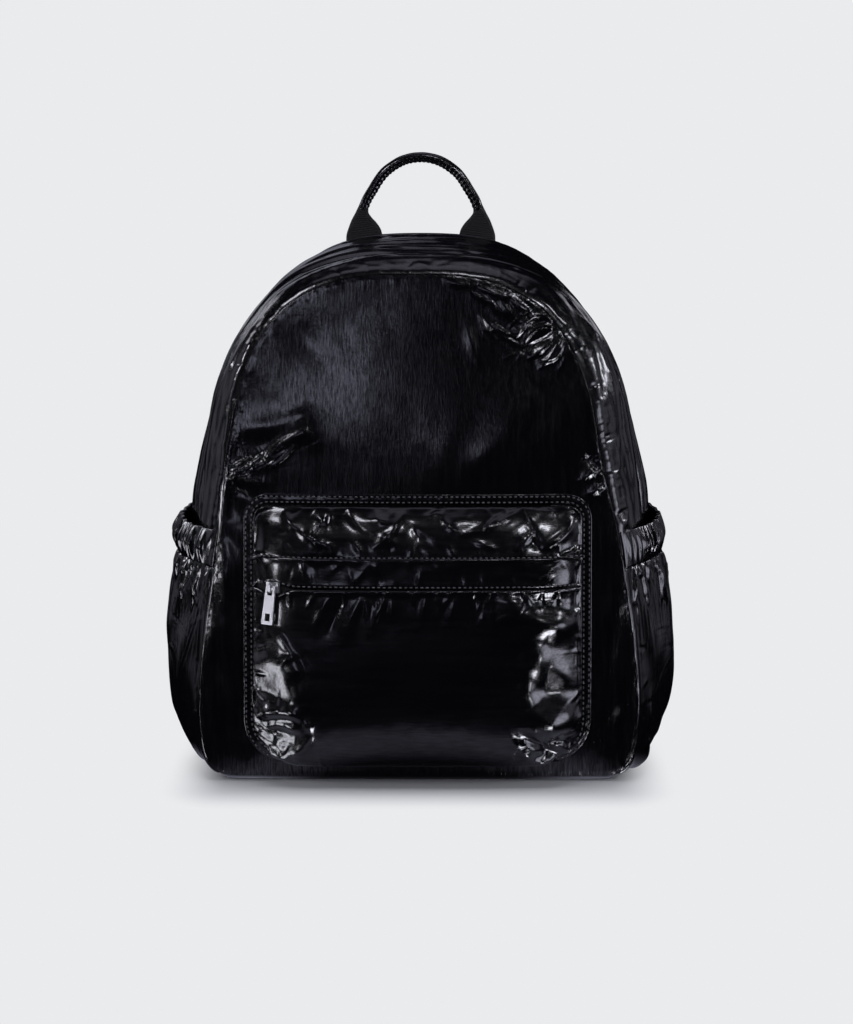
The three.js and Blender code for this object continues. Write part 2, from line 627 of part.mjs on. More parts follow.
// The pocket's slider is turned to face the way that end of the pocket faces.
const sliderZ = zipMiddle + SLIDER.above;
const sliderSide = SLIDER.x / pocketHalf(sliderZ);
const along = pocketPoint(sliderSide + 0.02, sliderZ).sub(pocketPoint(sliderSide - 0.02, sliderZ));
const pull = new THREE.Group();
pull.position.copy(pocketPoint(sliderSide, sliderZ, POCKET_ZIP.coil - POCKET_ZIP.recess));
pull.rotation.z = Math.atan2(along.y, along.x);
bag.add(pull);
add("pocket_zip_slider", "nickel", slider(), pull);

// The main zip is closed, and its slider lies low on the left, inside the side pocket.
const closedAt = mirrorPlace(placeAt(MAIN_ZIP.sliderZ));
const coilOut = crownOut(closedAt, ringPoint(frontRing, closedAt), ringPoint(backRing, closedAt));
const coilRun = ringPoint(zipRing, closedAt + 0.5).sub(ringPoint(zipRing, closedAt - 0.5)).normalize();
const closed = new THREE.Group();
closed.matrixAutoUpdate = false;
closed.matrix.makeBasis(coilRun, coilOut.clone().negate(), coilRun.clone().cross(coilOut).negate());
const coilTop = MAIN_ZIP.coil - MAIN_ZIP.recess;
closed.matrix.setPosition(ringPoint(zipRing, closedAt).addScaledVector(coilOut, coilTop));
bag.add(closed);
add("main_zip_slider", "nickel", slider(), closed);

const hinge = new THREE.Group();
hinge.name = "puller_hinge";
hinge.position.set(0, -SLIDER.lift - SLIDER.body - PULLER_HANG.out, PULLER_HANG.up);
hinge.rotation.set(-PULLER_TILT, PULLER_LEAN, 0);
pull.add(hinge);

// The tab hangs from the bar above its eye, which is the line it swings about.
const tabTop = PULLER.thick / 2;
const tabEnd = tabTop - PULLER.length;
const [topHalf, endHalf] = [PULLER.topWide / 2, PULLER.bottomWide / 2];
const tab = new THREE.Shape();
tab.moveTo(-topHalf + PULLER.chamfer, tabTop);
tab.lineTo(topHalf - PULLER.chamfer, tabTop);
tab.lineTo(topHalf, tabTop - PULLER.chamfer);
tab.lineTo(endHalf, tabEnd + PULLER.corner);
tab.quadraticCurveTo(endHalf, tabEnd, endHalf - PULLER.corner, tabEnd);
tab.lineTo(-endHalf + PULLER.corner, tabEnd);
tab.quadraticCurveTo(-endHalf, tabEnd, -endHalf, tabEnd + PULLER.corner);
tab.lineTo(-topHalf, tabTop - PULLER.chamfer);
const windowIn = (wide, low, high) =>
  new THREE.Path([
    new THREE.Vector2(-wide / 2, low),
    new THREE.Vector2(wide / 2, low),
    new THREE.Vector2(wide / 2, high),
    new THREE.Vector2(-wide / 2, high),
  ]);
tab.holes.push(windowIn(PULLER_EYE.wide, -tabTop - PULLER_EYE.high, -tabTop));
const slotLow = tabEnd + PULLER_SLOT.fromEnd;
tab.holes.push(windowIn(PULLER_SLOT.wide, slotLow, slotLow + PULLER_SLOT.high));
const plate = new THREE.ExtrudeGeometry(tab, { depth: PULLER.thick, bevelEnabled: false, curveSegments: 3 });
add("zip_puller", "nickel", plate.rotateX(Math.PI / 2).translate(0, PULLER.thick / 2, 0), hinge);

// Side pockets: a sheet standing off the gusset, drawn in by a gathered elastic band at the mouth

const sidePuff = profile(SIDE_PUFF, "z", "puff");
const sideLow = placeAt(SIDE_POCKET.lowZ);

function sidePocketPoint(place, depth, puff) {
  const inner = lerp(SIDE_MARGIN, 1 - SIDE_MARGIN, depth);
  const stand = SIDE_POCKET.gap + POCKET_CLOTH + puff * Math.sin(Math.PI * depth) ** SIDE_POCKET.round;
  const p = gussetPoint(place, inner).addScaledVector(gussetOut(place, inner), stand);
  return p.setZ(Math.max(p.z, BASE_Z + SIDE_POCKET.floorGap));
}

const pleat = (depth) => Math.cos(2 * Math.PI * GATHER.pleats * depth) * Math.sin(Math.PI * depth) ** 0.5;

const bandLow = placeAt(BAND.lowZ);
const bandTop = placeAt(BAND.lowZ + BAND.high);

// The mouth dips towards the front seam; the dip dies away to nothing at the foot of the pocket.
function dipped(place, depth) {
  const share = clamp((place - sideLow) / (bandLow - sideLow), 0, 1);
  return place - SIDE_POCKET.mouthDip * Math.max(1 - 2 * depth, 0) * share ** 2;
}

// The pocket turns with the gusset at its foot and needs only every other row higher up.
const pocketPlaces = places(sideLow, bandLow - END_TRIM);
const keptPlaces = pocketPlaces.filter((_, i) => i < 5 || i % 2 === 0 || i === pocketPlaces.length - 1);
const sidePocketRows = keptPlaces.map((row) =>
  steps(2 * GATHER.pleats, (depth) => {
    const place = dipped(row, depth);
    const z = ringPoint(zipRing, place).z;
    const gathers = GATHER.pocket * pleat(depth) * Math.exp(-(BAND.lowZ - z) / GATHER.fade);
    return sidePocketPoint(place, depth, sidePuff(z) + gathers);
  }),
);
const elasticRows = grid(2, 4 * GATHER.pleats, (u, depth) => {
  const place = dipped(lerp(bandLow + END_TRIM, bandTop, u), depth);
  const roll = BAND_ROLL * Math.sin(Math.PI * u);
  const puff = sidePuff(ringPoint(zipRing, place).z);
  return sidePocketPoint(place, depth, puff + roll + GATHER.band * pleat(depth));
});
add("side_pocket_right", "nylon", wall(sidePocketRows, POCKET_CLOTH));
add("side_pocket_left", "nylon", wall(mirroredGrid(sidePocketRows), POCKET_CLOTH));
add("elastic_band_right", "nylon", wall(elasticRows, POCKET_CLOTH));
add("elastic_band_left", "nylon", wall(mirroredGrid(elasticRows), POCKET_CLOTH));

// Carrying handle: a rolled grip between two feet of webbing

const handlePoint = (row) => new THREE.Vector3(row.x, HANDLE_Y, row.z);
const gripHalf = GRIP_PATH.map(handlePoint);
const gripCurve = new THREE.CatmullRomCurve3([...gripHalf, ...gripHalf.slice(0, -1).reverse().map(mirrored)]);
const gripPath = gripCurve.getSpacedPoints(22);
const gripSizes = gripPath.map(() => ({ half: GRIP_RADIUS, thick: GRIP_RADIUS }));
add("handle_grip", "nylon", bar(gripPath, gripSizes, 8));

const footRight = FOOT_PATH.map(handlePoint);
add("handle_foot_right", "webbing", bar(footRight, FOOT_PATH, 10, 3.5));
const footLeft = footRight.map(mirrored);
add("handle_foot_left", "webbing", bar(footLeft, FOOT_PATH, 10, 3.5));

// Shoulder straps: padded above, webbing below, joined by a plain adjuster

const strapCurve = new THREE.CatmullRomCurve3(
  STRAP_PATH.map((row) => new THREE.Vector3(row.x, BACK_Y + row.off, row.z)),
);
const strapLine = (from, to, count) => steps(count, (t) => strapCurve.getPointAt(lerp(from, to, t)));

// A flat ladder frame with two windows for the strap and the webbing.
function adjuster() {
  const oblong = (wide, high, y) => {
    const [x, z] = [wide / 2, high / 2];
    return [[-x, y - z], [x, y - z], [x, y + z], [-x, y + z]].map(([a, b]) => new THREE.Vector2(a, b));
  };
  const frame = new THREE.Shape(oblong(ADJUSTER.wide, ADJUSTER.high, 0));
  for (const y of [-ADJUSTER.windowAt, ADJUSTER.windowAt]) {
    frame.holes.push(new THREE.Path(oblong(ADJUSTER.windowWide, ADJUSTER.windowHigh, y)));
  }
  const geometry = new THREE.ExtrudeGeometry(frame, { depth: ADJUSTER.thick, bevelEnabled: false });
  return geometry.translate(0, 0, -ADJUSTER.thick / 2);
}

for (const [side, place] of [["right", (p) => p], ["left", mirrored]]) {
  const padded = strapLine(0, STRAP.end, STRAP.steps).map(place);
  const sizes = padded.map((_, i) => {
    const taper = smoothstep(i / STRAP.steps, 0.8, 1);
    return { half: lerp(STRAP.half, STRAP.endHalf, taper), thick: lerp(STRAP.thick, 1.6, taper) };
  });
  add("shoulder_strap_" + side, "nylon", bar(padded, sizes, 8, 3.5));

  const tail = strapLine(STRAP.end + STRAP.join, 1, WEBBING.steps).map(place);
  add("strap_webbing_" + side, "webbing", bar(tail, tail.map(() => WEBBING), 8, 5));

  const middle = STRAP.end + STRAP.join / 2;
  const down = strapLine(middle - 0.02, middle + 0.02, 1).map(place);
  const run = down[1].clone().sub(down[0]).normalize();
  const over = run.clone().cross(new THREE.Vector3(0, 1, 0)).normalize();
  const buckle = add("strap_adjuster_" + side, "plastic", adjuster());
  buckle.applyMatrix4(new THREE.Matrix4().makeBasis(over, run, over.clone().cross(run)));
  buckle.position.copy(down[0]).lerp(down[1], 0.5);
}

// The finished bag stands with the middle of its box over the origin.
const bounds = new THREE.Box3().setFromObject(bag);
bag.position.set(0, -(bounds.min.y + bounds.max.y) / 2, -BASE_Z);
const backpack = new THREE.Group();
backpack.add(bag);

export default backpack;
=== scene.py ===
import math

import bmesh
import bpy
import numpy as np
from mathutils import Matrix, Vector, geometry, noise
from mathutils.bvhtree import BVHTree
from mathutils.kdtree import KDTree


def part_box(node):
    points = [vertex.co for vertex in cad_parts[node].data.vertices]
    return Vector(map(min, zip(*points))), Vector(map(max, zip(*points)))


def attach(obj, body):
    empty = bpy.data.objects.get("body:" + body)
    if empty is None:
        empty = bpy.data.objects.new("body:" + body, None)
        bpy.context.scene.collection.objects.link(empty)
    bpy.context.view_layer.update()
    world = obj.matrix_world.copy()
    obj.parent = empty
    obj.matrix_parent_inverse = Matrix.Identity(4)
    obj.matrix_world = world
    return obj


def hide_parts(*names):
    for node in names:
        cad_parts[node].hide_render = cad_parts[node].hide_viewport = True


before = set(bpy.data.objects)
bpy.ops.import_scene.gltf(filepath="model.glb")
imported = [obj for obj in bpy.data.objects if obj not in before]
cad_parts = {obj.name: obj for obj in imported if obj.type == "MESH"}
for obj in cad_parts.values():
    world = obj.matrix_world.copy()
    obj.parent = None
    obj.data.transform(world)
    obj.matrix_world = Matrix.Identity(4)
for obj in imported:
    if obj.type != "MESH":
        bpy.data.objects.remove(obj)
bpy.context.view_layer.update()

# Camera: a long lens two metres in front of the bag, a little above it and a touch to its right, aimed at
# the middle of the body. The bag stands a few pixels left of the picture's middle.
MM = 0.001
PICTURE_HIGH = 1024
MM_PER_PIXEL = 0.6
VIEW_DISTANCE = 2000 * MM
VIEW_ASIDE = math.radians(0.5)
VIEW_UP = math.radians(7)
AIM = Vector((0, -4.7, 152.5)) * MM
BAG_LEFT_OF_MIDDLE = 6.5

lens = bpy.data.cameras.new("camera")
lens.lens = lens.sensor_width * VIEW_DISTANCE / (MM_PER_PIXEL * MM * PICTURE_HIGH)
lens.shift_x = BAG_LEFT_OF_MIDDLE / PICTURE_HIGH
camera = bpy.data.objects.new("camera", lens)
towards = Vector((math.sin(VIEW_ASIDE) * math.cos(VIEW_UP), -math.cos(VIEW_ASIDE) * math.cos(VIEW_UP),
                  math.sin(VIEW_UP)))
camera.location = AIM + towards * VIEW_DISTANCE
camera.rotation_euler = towards.to_track_quat("Z", "Y").to_euler()
bpy.context.scene.collection.objects.link(camera)
bpy.context.scene.camera = camera
bpy.context.scene.view_settings.view_transform = "Standard"

# Studio: a bowl of pale paper all round, lit from above, so that floor and background run into each other.
# Its reflection is cut with a flag, as in a photo of a glossy thing, all but an oval of paper under the bag.
PAPER = "#eaebed"
BOWL = [(0, 0), (2.6, 0), (3.2, 0.12), (3.6, 0.5), (3.8, 1.1), (3.8, 3.4)]
BOWL_SIDES = 96
FLOOR_GAP = 0.3 * MM
FOOT_HALF = (0.112, 0.0675, 0)
FOOT_Y = -0.0175
SHADOW_REACH = 0.06
CARD_RADIUS = 0.2
CARD_PALE = 0.15
CARD_DARK = 0.09


def linear(colour):
    """An sRGB hex colour as linear red, green, blue and alpha."""
    parts = [int(colour[i:i + 2], 16) / 255 for i in (1, 3, 5)]
    return [c / 12.92 if c <= 0.04045 else ((c + 0.055) / 1.055) ** 2.4 for c in parts] + [1.0]


def add_node(tree, kind, inputs=(), **settings):
    """Adds a shader node with its settings. An input is a value, or another node's output to link to."""
    made = tree.nodes.new("ShaderNode" + kind)
    for name, value in settings.items():
        setattr(made, name, value)
    for name, value in dict(inputs).items():
        if isinstance(value, bpy.types.NodeSocket):
            tree.links.new(value, made.inputs[name])
        else:
            made.inputs[name].default_value = value
    return made


def new_material(name):
    """An empty material and its node tree."""
    material = bpy.data.materials.new(name)
    material.use_nodes = True
    material.node_tree.nodes.clear()
    return material, material.node_tree


def new_piece(name, points, faces, material):
    """A smooth mesh object of points in metres."""
    mesh = bpy.data.meshes.new(name)
    mesh.from_pydata([tuple(p) for p in points], [], [tuple(int(i) for i in face) for face in faces])
    mesh.polygons.foreach_set("use_smooth", [True] * len(mesh.polygons))
    mesh.materials.append(material)
    mesh.update()
    piece = bpy.data.objects.new(name, mesh)
    bpy.context.scene.collection.objects.link(piece)
    return piece


# Matt white paper. Away from the bag's foot it glows evenly; near the foot it takes the bag's shadow.
paper, tree = new_material("seamless paper")
place = add_node(tree, "TexCoord").outputs["Object"]
shifted = add_node(tree, "VectorMath", {0: place, 1: (0, -FOOT_Y, 0)}, operation="ADD")
mirrored = add_node(tree, "VectorMath", {0: shifted.outputs["Vector"]}, operation="ABSOLUTE")
outside = add_node(tree, "VectorMath", {0: mirrored.outputs["Vector"], 1: FOOT_HALF}, operation="SUBTRACT")
clear_of = add_node(tree, "VectorMath", {0: outside.outputs["Vector"], 1: (0, 0, 0)}, operation="MAXIMUM")
narrowed = add_node(tree, "VectorMath", {0: clear_of.outputs["Vector"], 1: (1.5, 1, 1)}, operation="MULTIPLY")
reach = add_node(tree, "VectorMath", {0: narrowed.outputs["Vector"]}, operation="LENGTH")
glow = add_node(tree, "MapRange", {"Value": reach.outputs["Value"], "From Min": 0.0, "From Max": SHADOW_REACH,
                                   "To Min": 0.0, "To Max": 1.0}, interpolation_type="SMOOTHSTEP")
chalk = add_node(tree, "BsdfDiffuse", {"Color": linear("#d6d7de")})
light = add_node(tree, "Emission", {"Color": linear(PAPER), "Strength": 1.0})
blend = add_node(tree, "MixShader", {0: glow.outputs["Result"], 1: chalk.outputs["BSDF"],
                                     2: light.outputs["Emission"]})
add_node(tree, "OutputMaterial", {"Surface": blend.outputs["Shader"]})

turns = np.arange(BOWL_SIDES) * 2 * math.pi / BOWL_SIDES
bowl_points = [(0, 0, -FLOOR_GAP)]
bowl_points += [(r * math.cos(t), r * math.sin(t), z - FLOOR_GAP) for r, z in BOWL[1:] for t in turns]
bowl_faces = [(0, 1 + i, 1 + (i + 1) % BOWL_SIDES) for i in range(BOWL_SIDES)]
for ring in range(len(BOWL) - 2):
    for i in range(BOWL_SIDES):
        j = (i + 1) % BOWL_SIDES
        a = 1 + ring * BOWL_SIDES
        bowl_faces.append((a + i, a + BOWL_SIDES + i, a + BOWL_SIDES + j, a + j))
bowl = new_piece("paper_bowl", bowl_points, bowl_faces, paper)
bowl.visible_glossy = False

# The paper that the cloth mirrors, as a glowing card seen only in reflections: painted shade makes it dark
# where the bag shades the paper, pale round that, and gone further out.
card_paper, tree = new_material("reflected paper")
place = add_node(tree, "TexCoord").outputs["Object"]
oval = add_node(tree, "Mapping", {"Vector": place, "Scale": (1.3, 1, 1)})
reach = add_node(tree, "VectorMath", {0: oval.outputs["Vector"]}, operation="LENGTH")
fade = add_node(tree, "MapRange", {"Value": reach.outputs["Value"], "From Min": CARD_PALE,
                                   "From Max": CARD_RADIUS, "To Min": 0.4, "To Max": 0.0},
                interpolation_type="SMOOTHSTEP")
# Painted shade: the card's glow is dimmed near the bag, where the paper lies in its shadow.
shade = add_node(tree, "MapRange", {"Value": reach.outputs["Value"], "From Min": CARD_DARK,
                                    "From Max": CARD_PALE, "To Min": 0.06, "To Max": 1.0},
                 interpolation_type="SMOOTHSTEP")
ring = add_node(tree, "Math", {0: fade.outputs["Result"], 1: shade.outputs["Result"]}, operation="MULTIPLY")
light = add_node(tree, "Emission", {"Color": linear("#d8d8f2"), "Strength": ring.outputs["Value"]})
clear = add_node(tree, "BsdfTransparent")
both = add_node(tree, "AddShader", {0: light.outputs["Emission"], 1: clear.outputs["BSDF"]})
add_node(tree, "OutputMaterial", {"Surface": both.outputs["Shader"]})
card_points = [(CARD_RADIUS * math.cos(t), CARD_RADIUS * math.sin(t), -FLOOR_GAP / 2) for t in turns]
card = new_piece("floor_card", card_points, [range(BOWL_SIDES)], card_paper)
card.visible_camera = card.visible_diffuse = card.visible_shadow = False

world = bpy.data.worlds.new("studio")
bpy.context.scene.world = world
world.use_nodes = True
world.node_tree.nodes["Background"].inputs["Color"].default_value = linear("#050507")
world.node_tree.nodes["Background"].inputs["Strength"].default_value = 1.0

# Soft boxes: the one overhead lights the paper and makes the shadow, and the rest show only as reflections in
# the cloth. Name, where it stands, width and height in metres, brightness beside the paper's.
SOFT_BOXES = [
    ("overhead", (0.0, 0.35, 2.3), 1.6, 1.6, 5.2),
    ("left_side", (-1.534, -0.458, -0.5), 0.5, 0.53, 7.5),
    ("left_spot", (-1.2, -1.0, 0.1), 0.22, 0.22, 14.0),
    ("right_low", (1.1, -1.1, -0.1), 0.12, 0.12, 22.0),
    ("right_under", (0.85, -1.15, -0.72), 0.4, 0.4, 22.0),
    ("top_front", (0.25, -1.25, 1.75), 0.2, 0.2, 18.0),
    ("right_front", (0.95, -1.7, 1.25), 0.24, 0.24, 26.0),
    ("left_high", (-1.05, -1.05, 1.5), 0.4, 0.4, 13.0),
    ("right_high", (1.4, -0.5, 1.4), 0.25, 0.25, 14.0),
    ("left_fold", (-1.5, 0.2, 0.75), 0.22, 0.22, 16.0),
    ("right_fold", (1.5, 0.2, 0.75), 0.22, 0.22, 16.0),
    ("left_rear", (-1.3, 1.5, 0.95), 0.5, 0.5, 1.5),
    ("right_rear", (1.3, 1.5, 0.95), 0.5, 0.5, 1.5),
]
for name, spot, wide, high, bright in SOFT_BOXES:
    overhead = name == "overhead"
    box_light = bpy.data.lights.new(name, "AREA")
    box_light.shape = "RECTANGLE"
    box_light.size = wide
    box_light.size_y = high
    box_light.energy = bright * math.pi * wide * high
    box_light.color = linear("#ffffff" if overhead else "#f0f0fb")[:3]
    lamp = bpy.data.objects.new(name, box_light)
    lamp.location = spot
    lamp.rotation_euler = (Vector(spot) - AIM).to_track_quat("Z", "Y").to_euler()
    lamp.visible_camera = False
    lamp.visible_glossy = not overhead
    lamp.visible_diffuse = overhead
    bpy.context.scene.collection.objects.link(lamp)

# Sheen cards: large sheets of white foam board that fade towards their edges, which give the cloth its broad
# sheen. Name, where it stands, width and height in metres, roll in degrees, brightness, colour.
SHEEN_CARDS = [
    ("left_front_card", (-0.52, -1.96, 0.6), 0.4, 0.95, -45, 2.0, "#dcdcf8"),
    ("right_side_card", (1.5, -0.75, 0.1), 1.0, 0.9, 0, 4.0, "#e6e6fa"),
    ("top_card", (0.0, 0.4, 2.1), 2.6, 2.0, 0, 0.5, "#e6e6fa"),
    ("left_card", (-1.9, 0.0, 0.5), 1.2, 1.4, 0, 0.45, "#e6e6fa"),
    ("right_card", (1.9, 0.0, 0.5), 1.2, 1.4, 0, 0.38, "#e6e6fa"),
    ("left_behind", (-1.6, 1.3, 0.3), 1.6, 1.4, 0, 0.15, "#e6e6fa"),
    ("right_behind", (1.6, 1.3, 0.3), 1.6, 1.4, 0, 0.15, "#e6e6fa"),
    ("back_card", (-0.7, 2.1, 0.9), 1.8, 1.6, 0, 0.35, "#e6e6fa"),
]
for name, spot, wide, high, roll, bright, colour in SHEEN_CARDS:
    board, tree = new_material("foam board, " + name.replace("_", " "))
    place = add_node(tree, "TexCoord").outputs["Object"]
    spread = add_node(tree, "Mapping", {"Vector": place, "Scale": (2 / wide, 2 / high, 1)})
    round_off = add_node(tree, "TexGradient", {"Vector": spread.outputs["Vector"]}, gradient_type="SPHERICAL")
    fade = add_node(tree, "MapRange", {"Value": round_off.outputs["Fac"], "From Max": 0.5, "To Max": bright},
                    interpolation_type="SMOOTHSTEP")
    light = add_node(tree, "Emission", {"Color": linear(colour), "Strength": fade.outputs["Result"]})
    add_node(tree, "OutputMaterial", {"Surface": light.outputs["Emission"]})
    half_wide, half_high = wide / 2, high / 2
    corners = [(-half_wide, -half_high, 0), (half_wide, -half_high, 0), (half_wide, half_high, 0),
               (-half_wide, half_high, 0)]
    sheen = new_piece(name, corners, [(0, 1, 2, 3)], board)
    sheen.location = spot
    facing = (AIM - Vector(spot)).to_track_quat("Z", "Y").to_matrix()
    sheen.rotation_euler = (facing @ Matrix.Rotation(math.radians(roll), 3, "Z")).to_euler()
    sheen.visible_camera = sheen.visible_diffuse = sheen.visible_shadow = False

# Front panel: one piece of thin black nylon with a wet-looking coating over a little wadding, sewn in all
# round. It swells, puckers along its seam, and slumps in soft folds above the pocket.
PANEL_STEP = 1.8 * MM
PANEL_CUT = (275 * MM, 310 * MM)
NYLON_THICK = 2 * MM


def coated_nylon(name, grain, crinkle=0.05, yarn_high=0.06, polished=(0.45, 0.7)):
    """Black nylon taffeta, calendered and coated: a tight weave under a clear skin, which gives crisp
    highlights on black. The yarn shows as fine streaks along the grain, 0.8 mm apart, coarser than the real
    0.2 mm so that they show. crinkle and yarn_high are heights in millimetres; polished is the least and most
    gloss of the yarn."""
    material, tree = new_material(name)
    place = add_node(tree, "TexCoord").outputs["Object"]
    across, along = 1 / (0.8 * MM), 1 / (11 * MM)
    stretch = {"x": (along, across, across), "z": (across, across, along)}[grain]
    yarn_at = add_node(tree, "Mapping", {"Vector": place, "Scale": stretch})
    yarn = add_node(tree, "TexNoise", {"Vector": yarn_at.outputs["Vector"], "Scale": 1.0, "Detail": 3.0,
                                       "Roughness": 0.65}).outputs["Fac"]
    slub_at = add_node(tree, "Mapping", {"Vector": place, "Scale": [s / 3.5 for s in stretch]})
    slub = add_node(tree, "TexNoise", {"Vector": slub_at.outputs["Vector"], "Scale": 1.0, "Detail": 2.0})
    crease = add_node(tree, "TexNoise", {"Vector": place, "Scale": 1 / (5 * MM), "Detail": 3.0,
                                         "Roughness": 0.55, "Distortion": 0.8})
    gloss = add_node(tree, "MapRange", {"Value": slub.outputs["Fac"], "From Min": 0.3, "From Max": 0.7,
                                        "To Min": 0.17, "To Max": 0.27})
    tint = add_node(tree, "Mix", {"Factor": yarn, "A": linear("#020204"), "B": linear("#06060a")},
                    data_type="RGBA")
    lumps = add_node(tree, "Bump", {"Height": crease.outputs["Fac"], "Distance": crinkle * MM,
                                    "Strength": 1.0})
    threads = add_node(tree, "Bump", {"Height": yarn, "Distance": yarn_high * MM, "Strength": 1.0,
                                      "Normal": lumps.outputs["Normal"]})
    ghost = add_node(tree, "Bump", {"Height": yarn, "Distance": 0.4 * yarn_high * MM, "Strength": 1.0,
                                    "Normal": lumps.outputs["Normal"]})
    polish = add_node(tree, "MapRange", {"Value": yarn, "From Min": 0.35, "From Max": 0.65,
                                         "To Min": polished[0], "To Max": polished[1]})
    skin = add_node(tree, "BsdfPrincipled", {
        "Base Color": tint.outputs["Result"], "Roughness": gloss.outputs["Result"], "IOR": 1.45,
        "Specular IOR Level": polish.outputs["Result"], "Normal": threads.outputs["Normal"],
        "Coat Weight": polish.outputs["Result"], "Coat Roughness": 0.06, "Coat IOR": 1.5,
        "Coat Normal": ghost.outputs["Normal"]})
    add_node(tree, "OutputMaterial", {"Surface": skin.outputs["BSDF"]})
    return material


def front_of(node):
    """How far forward a CAD piece stands at a place seen from the front."""
    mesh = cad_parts[node].data
    shape = BVHTree.FromPolygons([v.co for v in mesh.vertices], [p.vertices for p in mesh.polygons])

    def depth(x, z):
        hit = shape.ray_cast(Vector((x, -1, z)), Vector((0, 1, 0)))[0]
        return math.nan if hit is None else hit.y

    return depth


def doubled(rows, axis=0, closed=False):
    """Twice as many points along one axis, on smooth curves through those that are there."""
    p = np.moveaxis(rows, axis, 0)
    if closed:
        ends = np.concatenate([p[-1:], p, p[:2]])
    else:
        ends = np.concatenate([2 * p[:1] - p[1:2], p, 2 * p[-1:] - p[-2:-1]])
    between = (9 * (ends[1:-2] + ends[2:-1]) - ends[:-3] - ends[3:]) / 16
    out = np.empty((len(p) + len(between), *p.shape[1:]))
    out[::2] = p
    out[1::2] = between
    return np.moveaxis(out, 0, axis)


def evenly(line, step, closed=False):
    """Points along a line at even steps."""
    if closed:
        line = np.concatenate([line, line[:1]])
    run = np.concatenate([[0], np.cumsum(np.linalg.norm(np.diff(line, axis=0), axis=1))])
    count = max(int(round(run[-1] / step)), 2)
    at = np.linspace(0, run[-1], count + 1)
    even = np.stack([np.interp(at, run, line[:, k]) for k in range(3)], axis=1)
    return even[:-1] if closed else even


def evened(line, rounds):
    """A closed line, or values along one, with the small steps smoothed out."""
    for _ in range(rounds):
        line = (np.roll(line, 1, axis=0) + 2 * line + np.roll(line, -1, axis=0)) / 4
    return line


def outline_of(node):
    """The outline of a CAD piece seen from the front, as a smooth closed line of points 4 mm apart."""
    corners = np.array([v.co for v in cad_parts[node].data.vertices])
    hull = geometry.convex_hull_2d([(x, z) for x, _, z in corners])
    return evened(evenly(corners[hull], 4 * MM, closed=True), 3)


def tree_of(points):
    """A search tree over points."""
    found = KDTree(len(points))
    for i, p in enumerate(points):
        found.insert(p, i)
    found.balance()
    return found


def lumps_of(points, size, seed):
    """Smooth random heights from -1 to 1, in lumps about as large as size."""
    shift = Vector((seed * 3.1, seed * 7.7, seed * 1.3))
    return np.array([noise.noise(Vector(p) / size + shift) for p in points])


def fold_heights(folds, x, z):
    """Heights in metres of a table of folds: from, to, width, height and how far the middle bows aside, all
    in millimetres. A fold is a ridge, crisp where it is narrow, or a dent where its height is below zero."""
    total = np.zeros_like(x)
    for fold in folds:
        x0, z0, x1, z1, width, height, bow = [v * MM for v in (*fold, 0)[:7]]
        run = np.array([x1 - x0, z1 - z0])
        length = np.linalg.norm(run)
        along = ((x - x0) * run[0] + (z - z0) * run[1]) / length
        share = np.clip(along / length, 0, 1)
        aside = ((x - x0) * run[1] - (z - z0) * run[0]) / length - bow * 4 * share * (1 - share)
        past = np.maximum(np.maximum(-along, along - length), 0)
        near = (np.abs(aside) < 6 * width) & (past < 5 * width)
        round_off = min(max(0.3 + 0.45 * (width / MM - 1.5), 0.3), 1.4)
        crest = np.sqrt((aside[near] / width) ** 2 + round_off ** 2) - round_off
        taper = 0.35 + 0.65 * np.sin(math.pi * share[near])
        total[near] += height * taper * np.exp(-crest - (past[near] / (1.5 * width)) ** 2)
    return total


def random_folds(seed, count, low, high, lean, spread, lengths, widths, heights):
    """A table of folds strewn over an oblong from low to high, in millimetres. They lean the given way in
    degrees, give or take the spread; lengths, widths and heights lie between two values each."""
    draw = np.random.default_rng(seed)
    folds = []
    for _ in range(count):
        x, z = draw.uniform(low, high)
        turn = math.radians(lean + spread * draw.normal())
        length = draw.uniform(*lengths)
        width = draw.uniform(*widths)
        height = draw.uniform(*heights)
        reach_x, reach_z = math.cos(turn) * length / 2, math.sin(turn) * length / 2
        height *= 1 if draw.random() < 0.65 else -0.8
        bow = draw.normal() * length * 0.08
        folds.append((x - reach_x, z - reach_z, x + reach_x, z + reach_z, width, height, bow))
    return folds


def strewn_folds(table):
    """The folds of several rows of random_folds' values."""
    return [fold for row in table for fold in random_folds(*row)]


def seam_puckers(seed, length, pitch=(2.5, 8), reach=(3, 11), width=(0.8, 1.5), height=(0.3, 0.9), lean=0.45):
    """A table of the small folds that a tight seam makes, by the distance along it and away from it."""
    draw = np.random.default_rng(seed)
    folds = []
    at = 0.0
    while at < length / MM:
        at += draw.uniform(*pitch)
        far = draw.uniform(*reach)
        tall = draw.uniform(*height) * (1 if draw.random() < 0.6 else -0.8)
        end = at + draw.normal() * lean * far
        folds.append((at, 0.4, end, far, draw.uniform(*width), tall, draw.normal() * 0.5))
    return folds


def spots_at(spots, x, z):
    """Sum of soft round patches: middle, reach across and up in millimetres, and amount."""
    total = np.zeros_like(x)
    for mid_x, mid_z, wide, high, amount in spots:
        total += amount * np.exp(-((x / MM - mid_x) / wide) ** 2 - ((z / MM - mid_z) / high) ** 2)
    return total


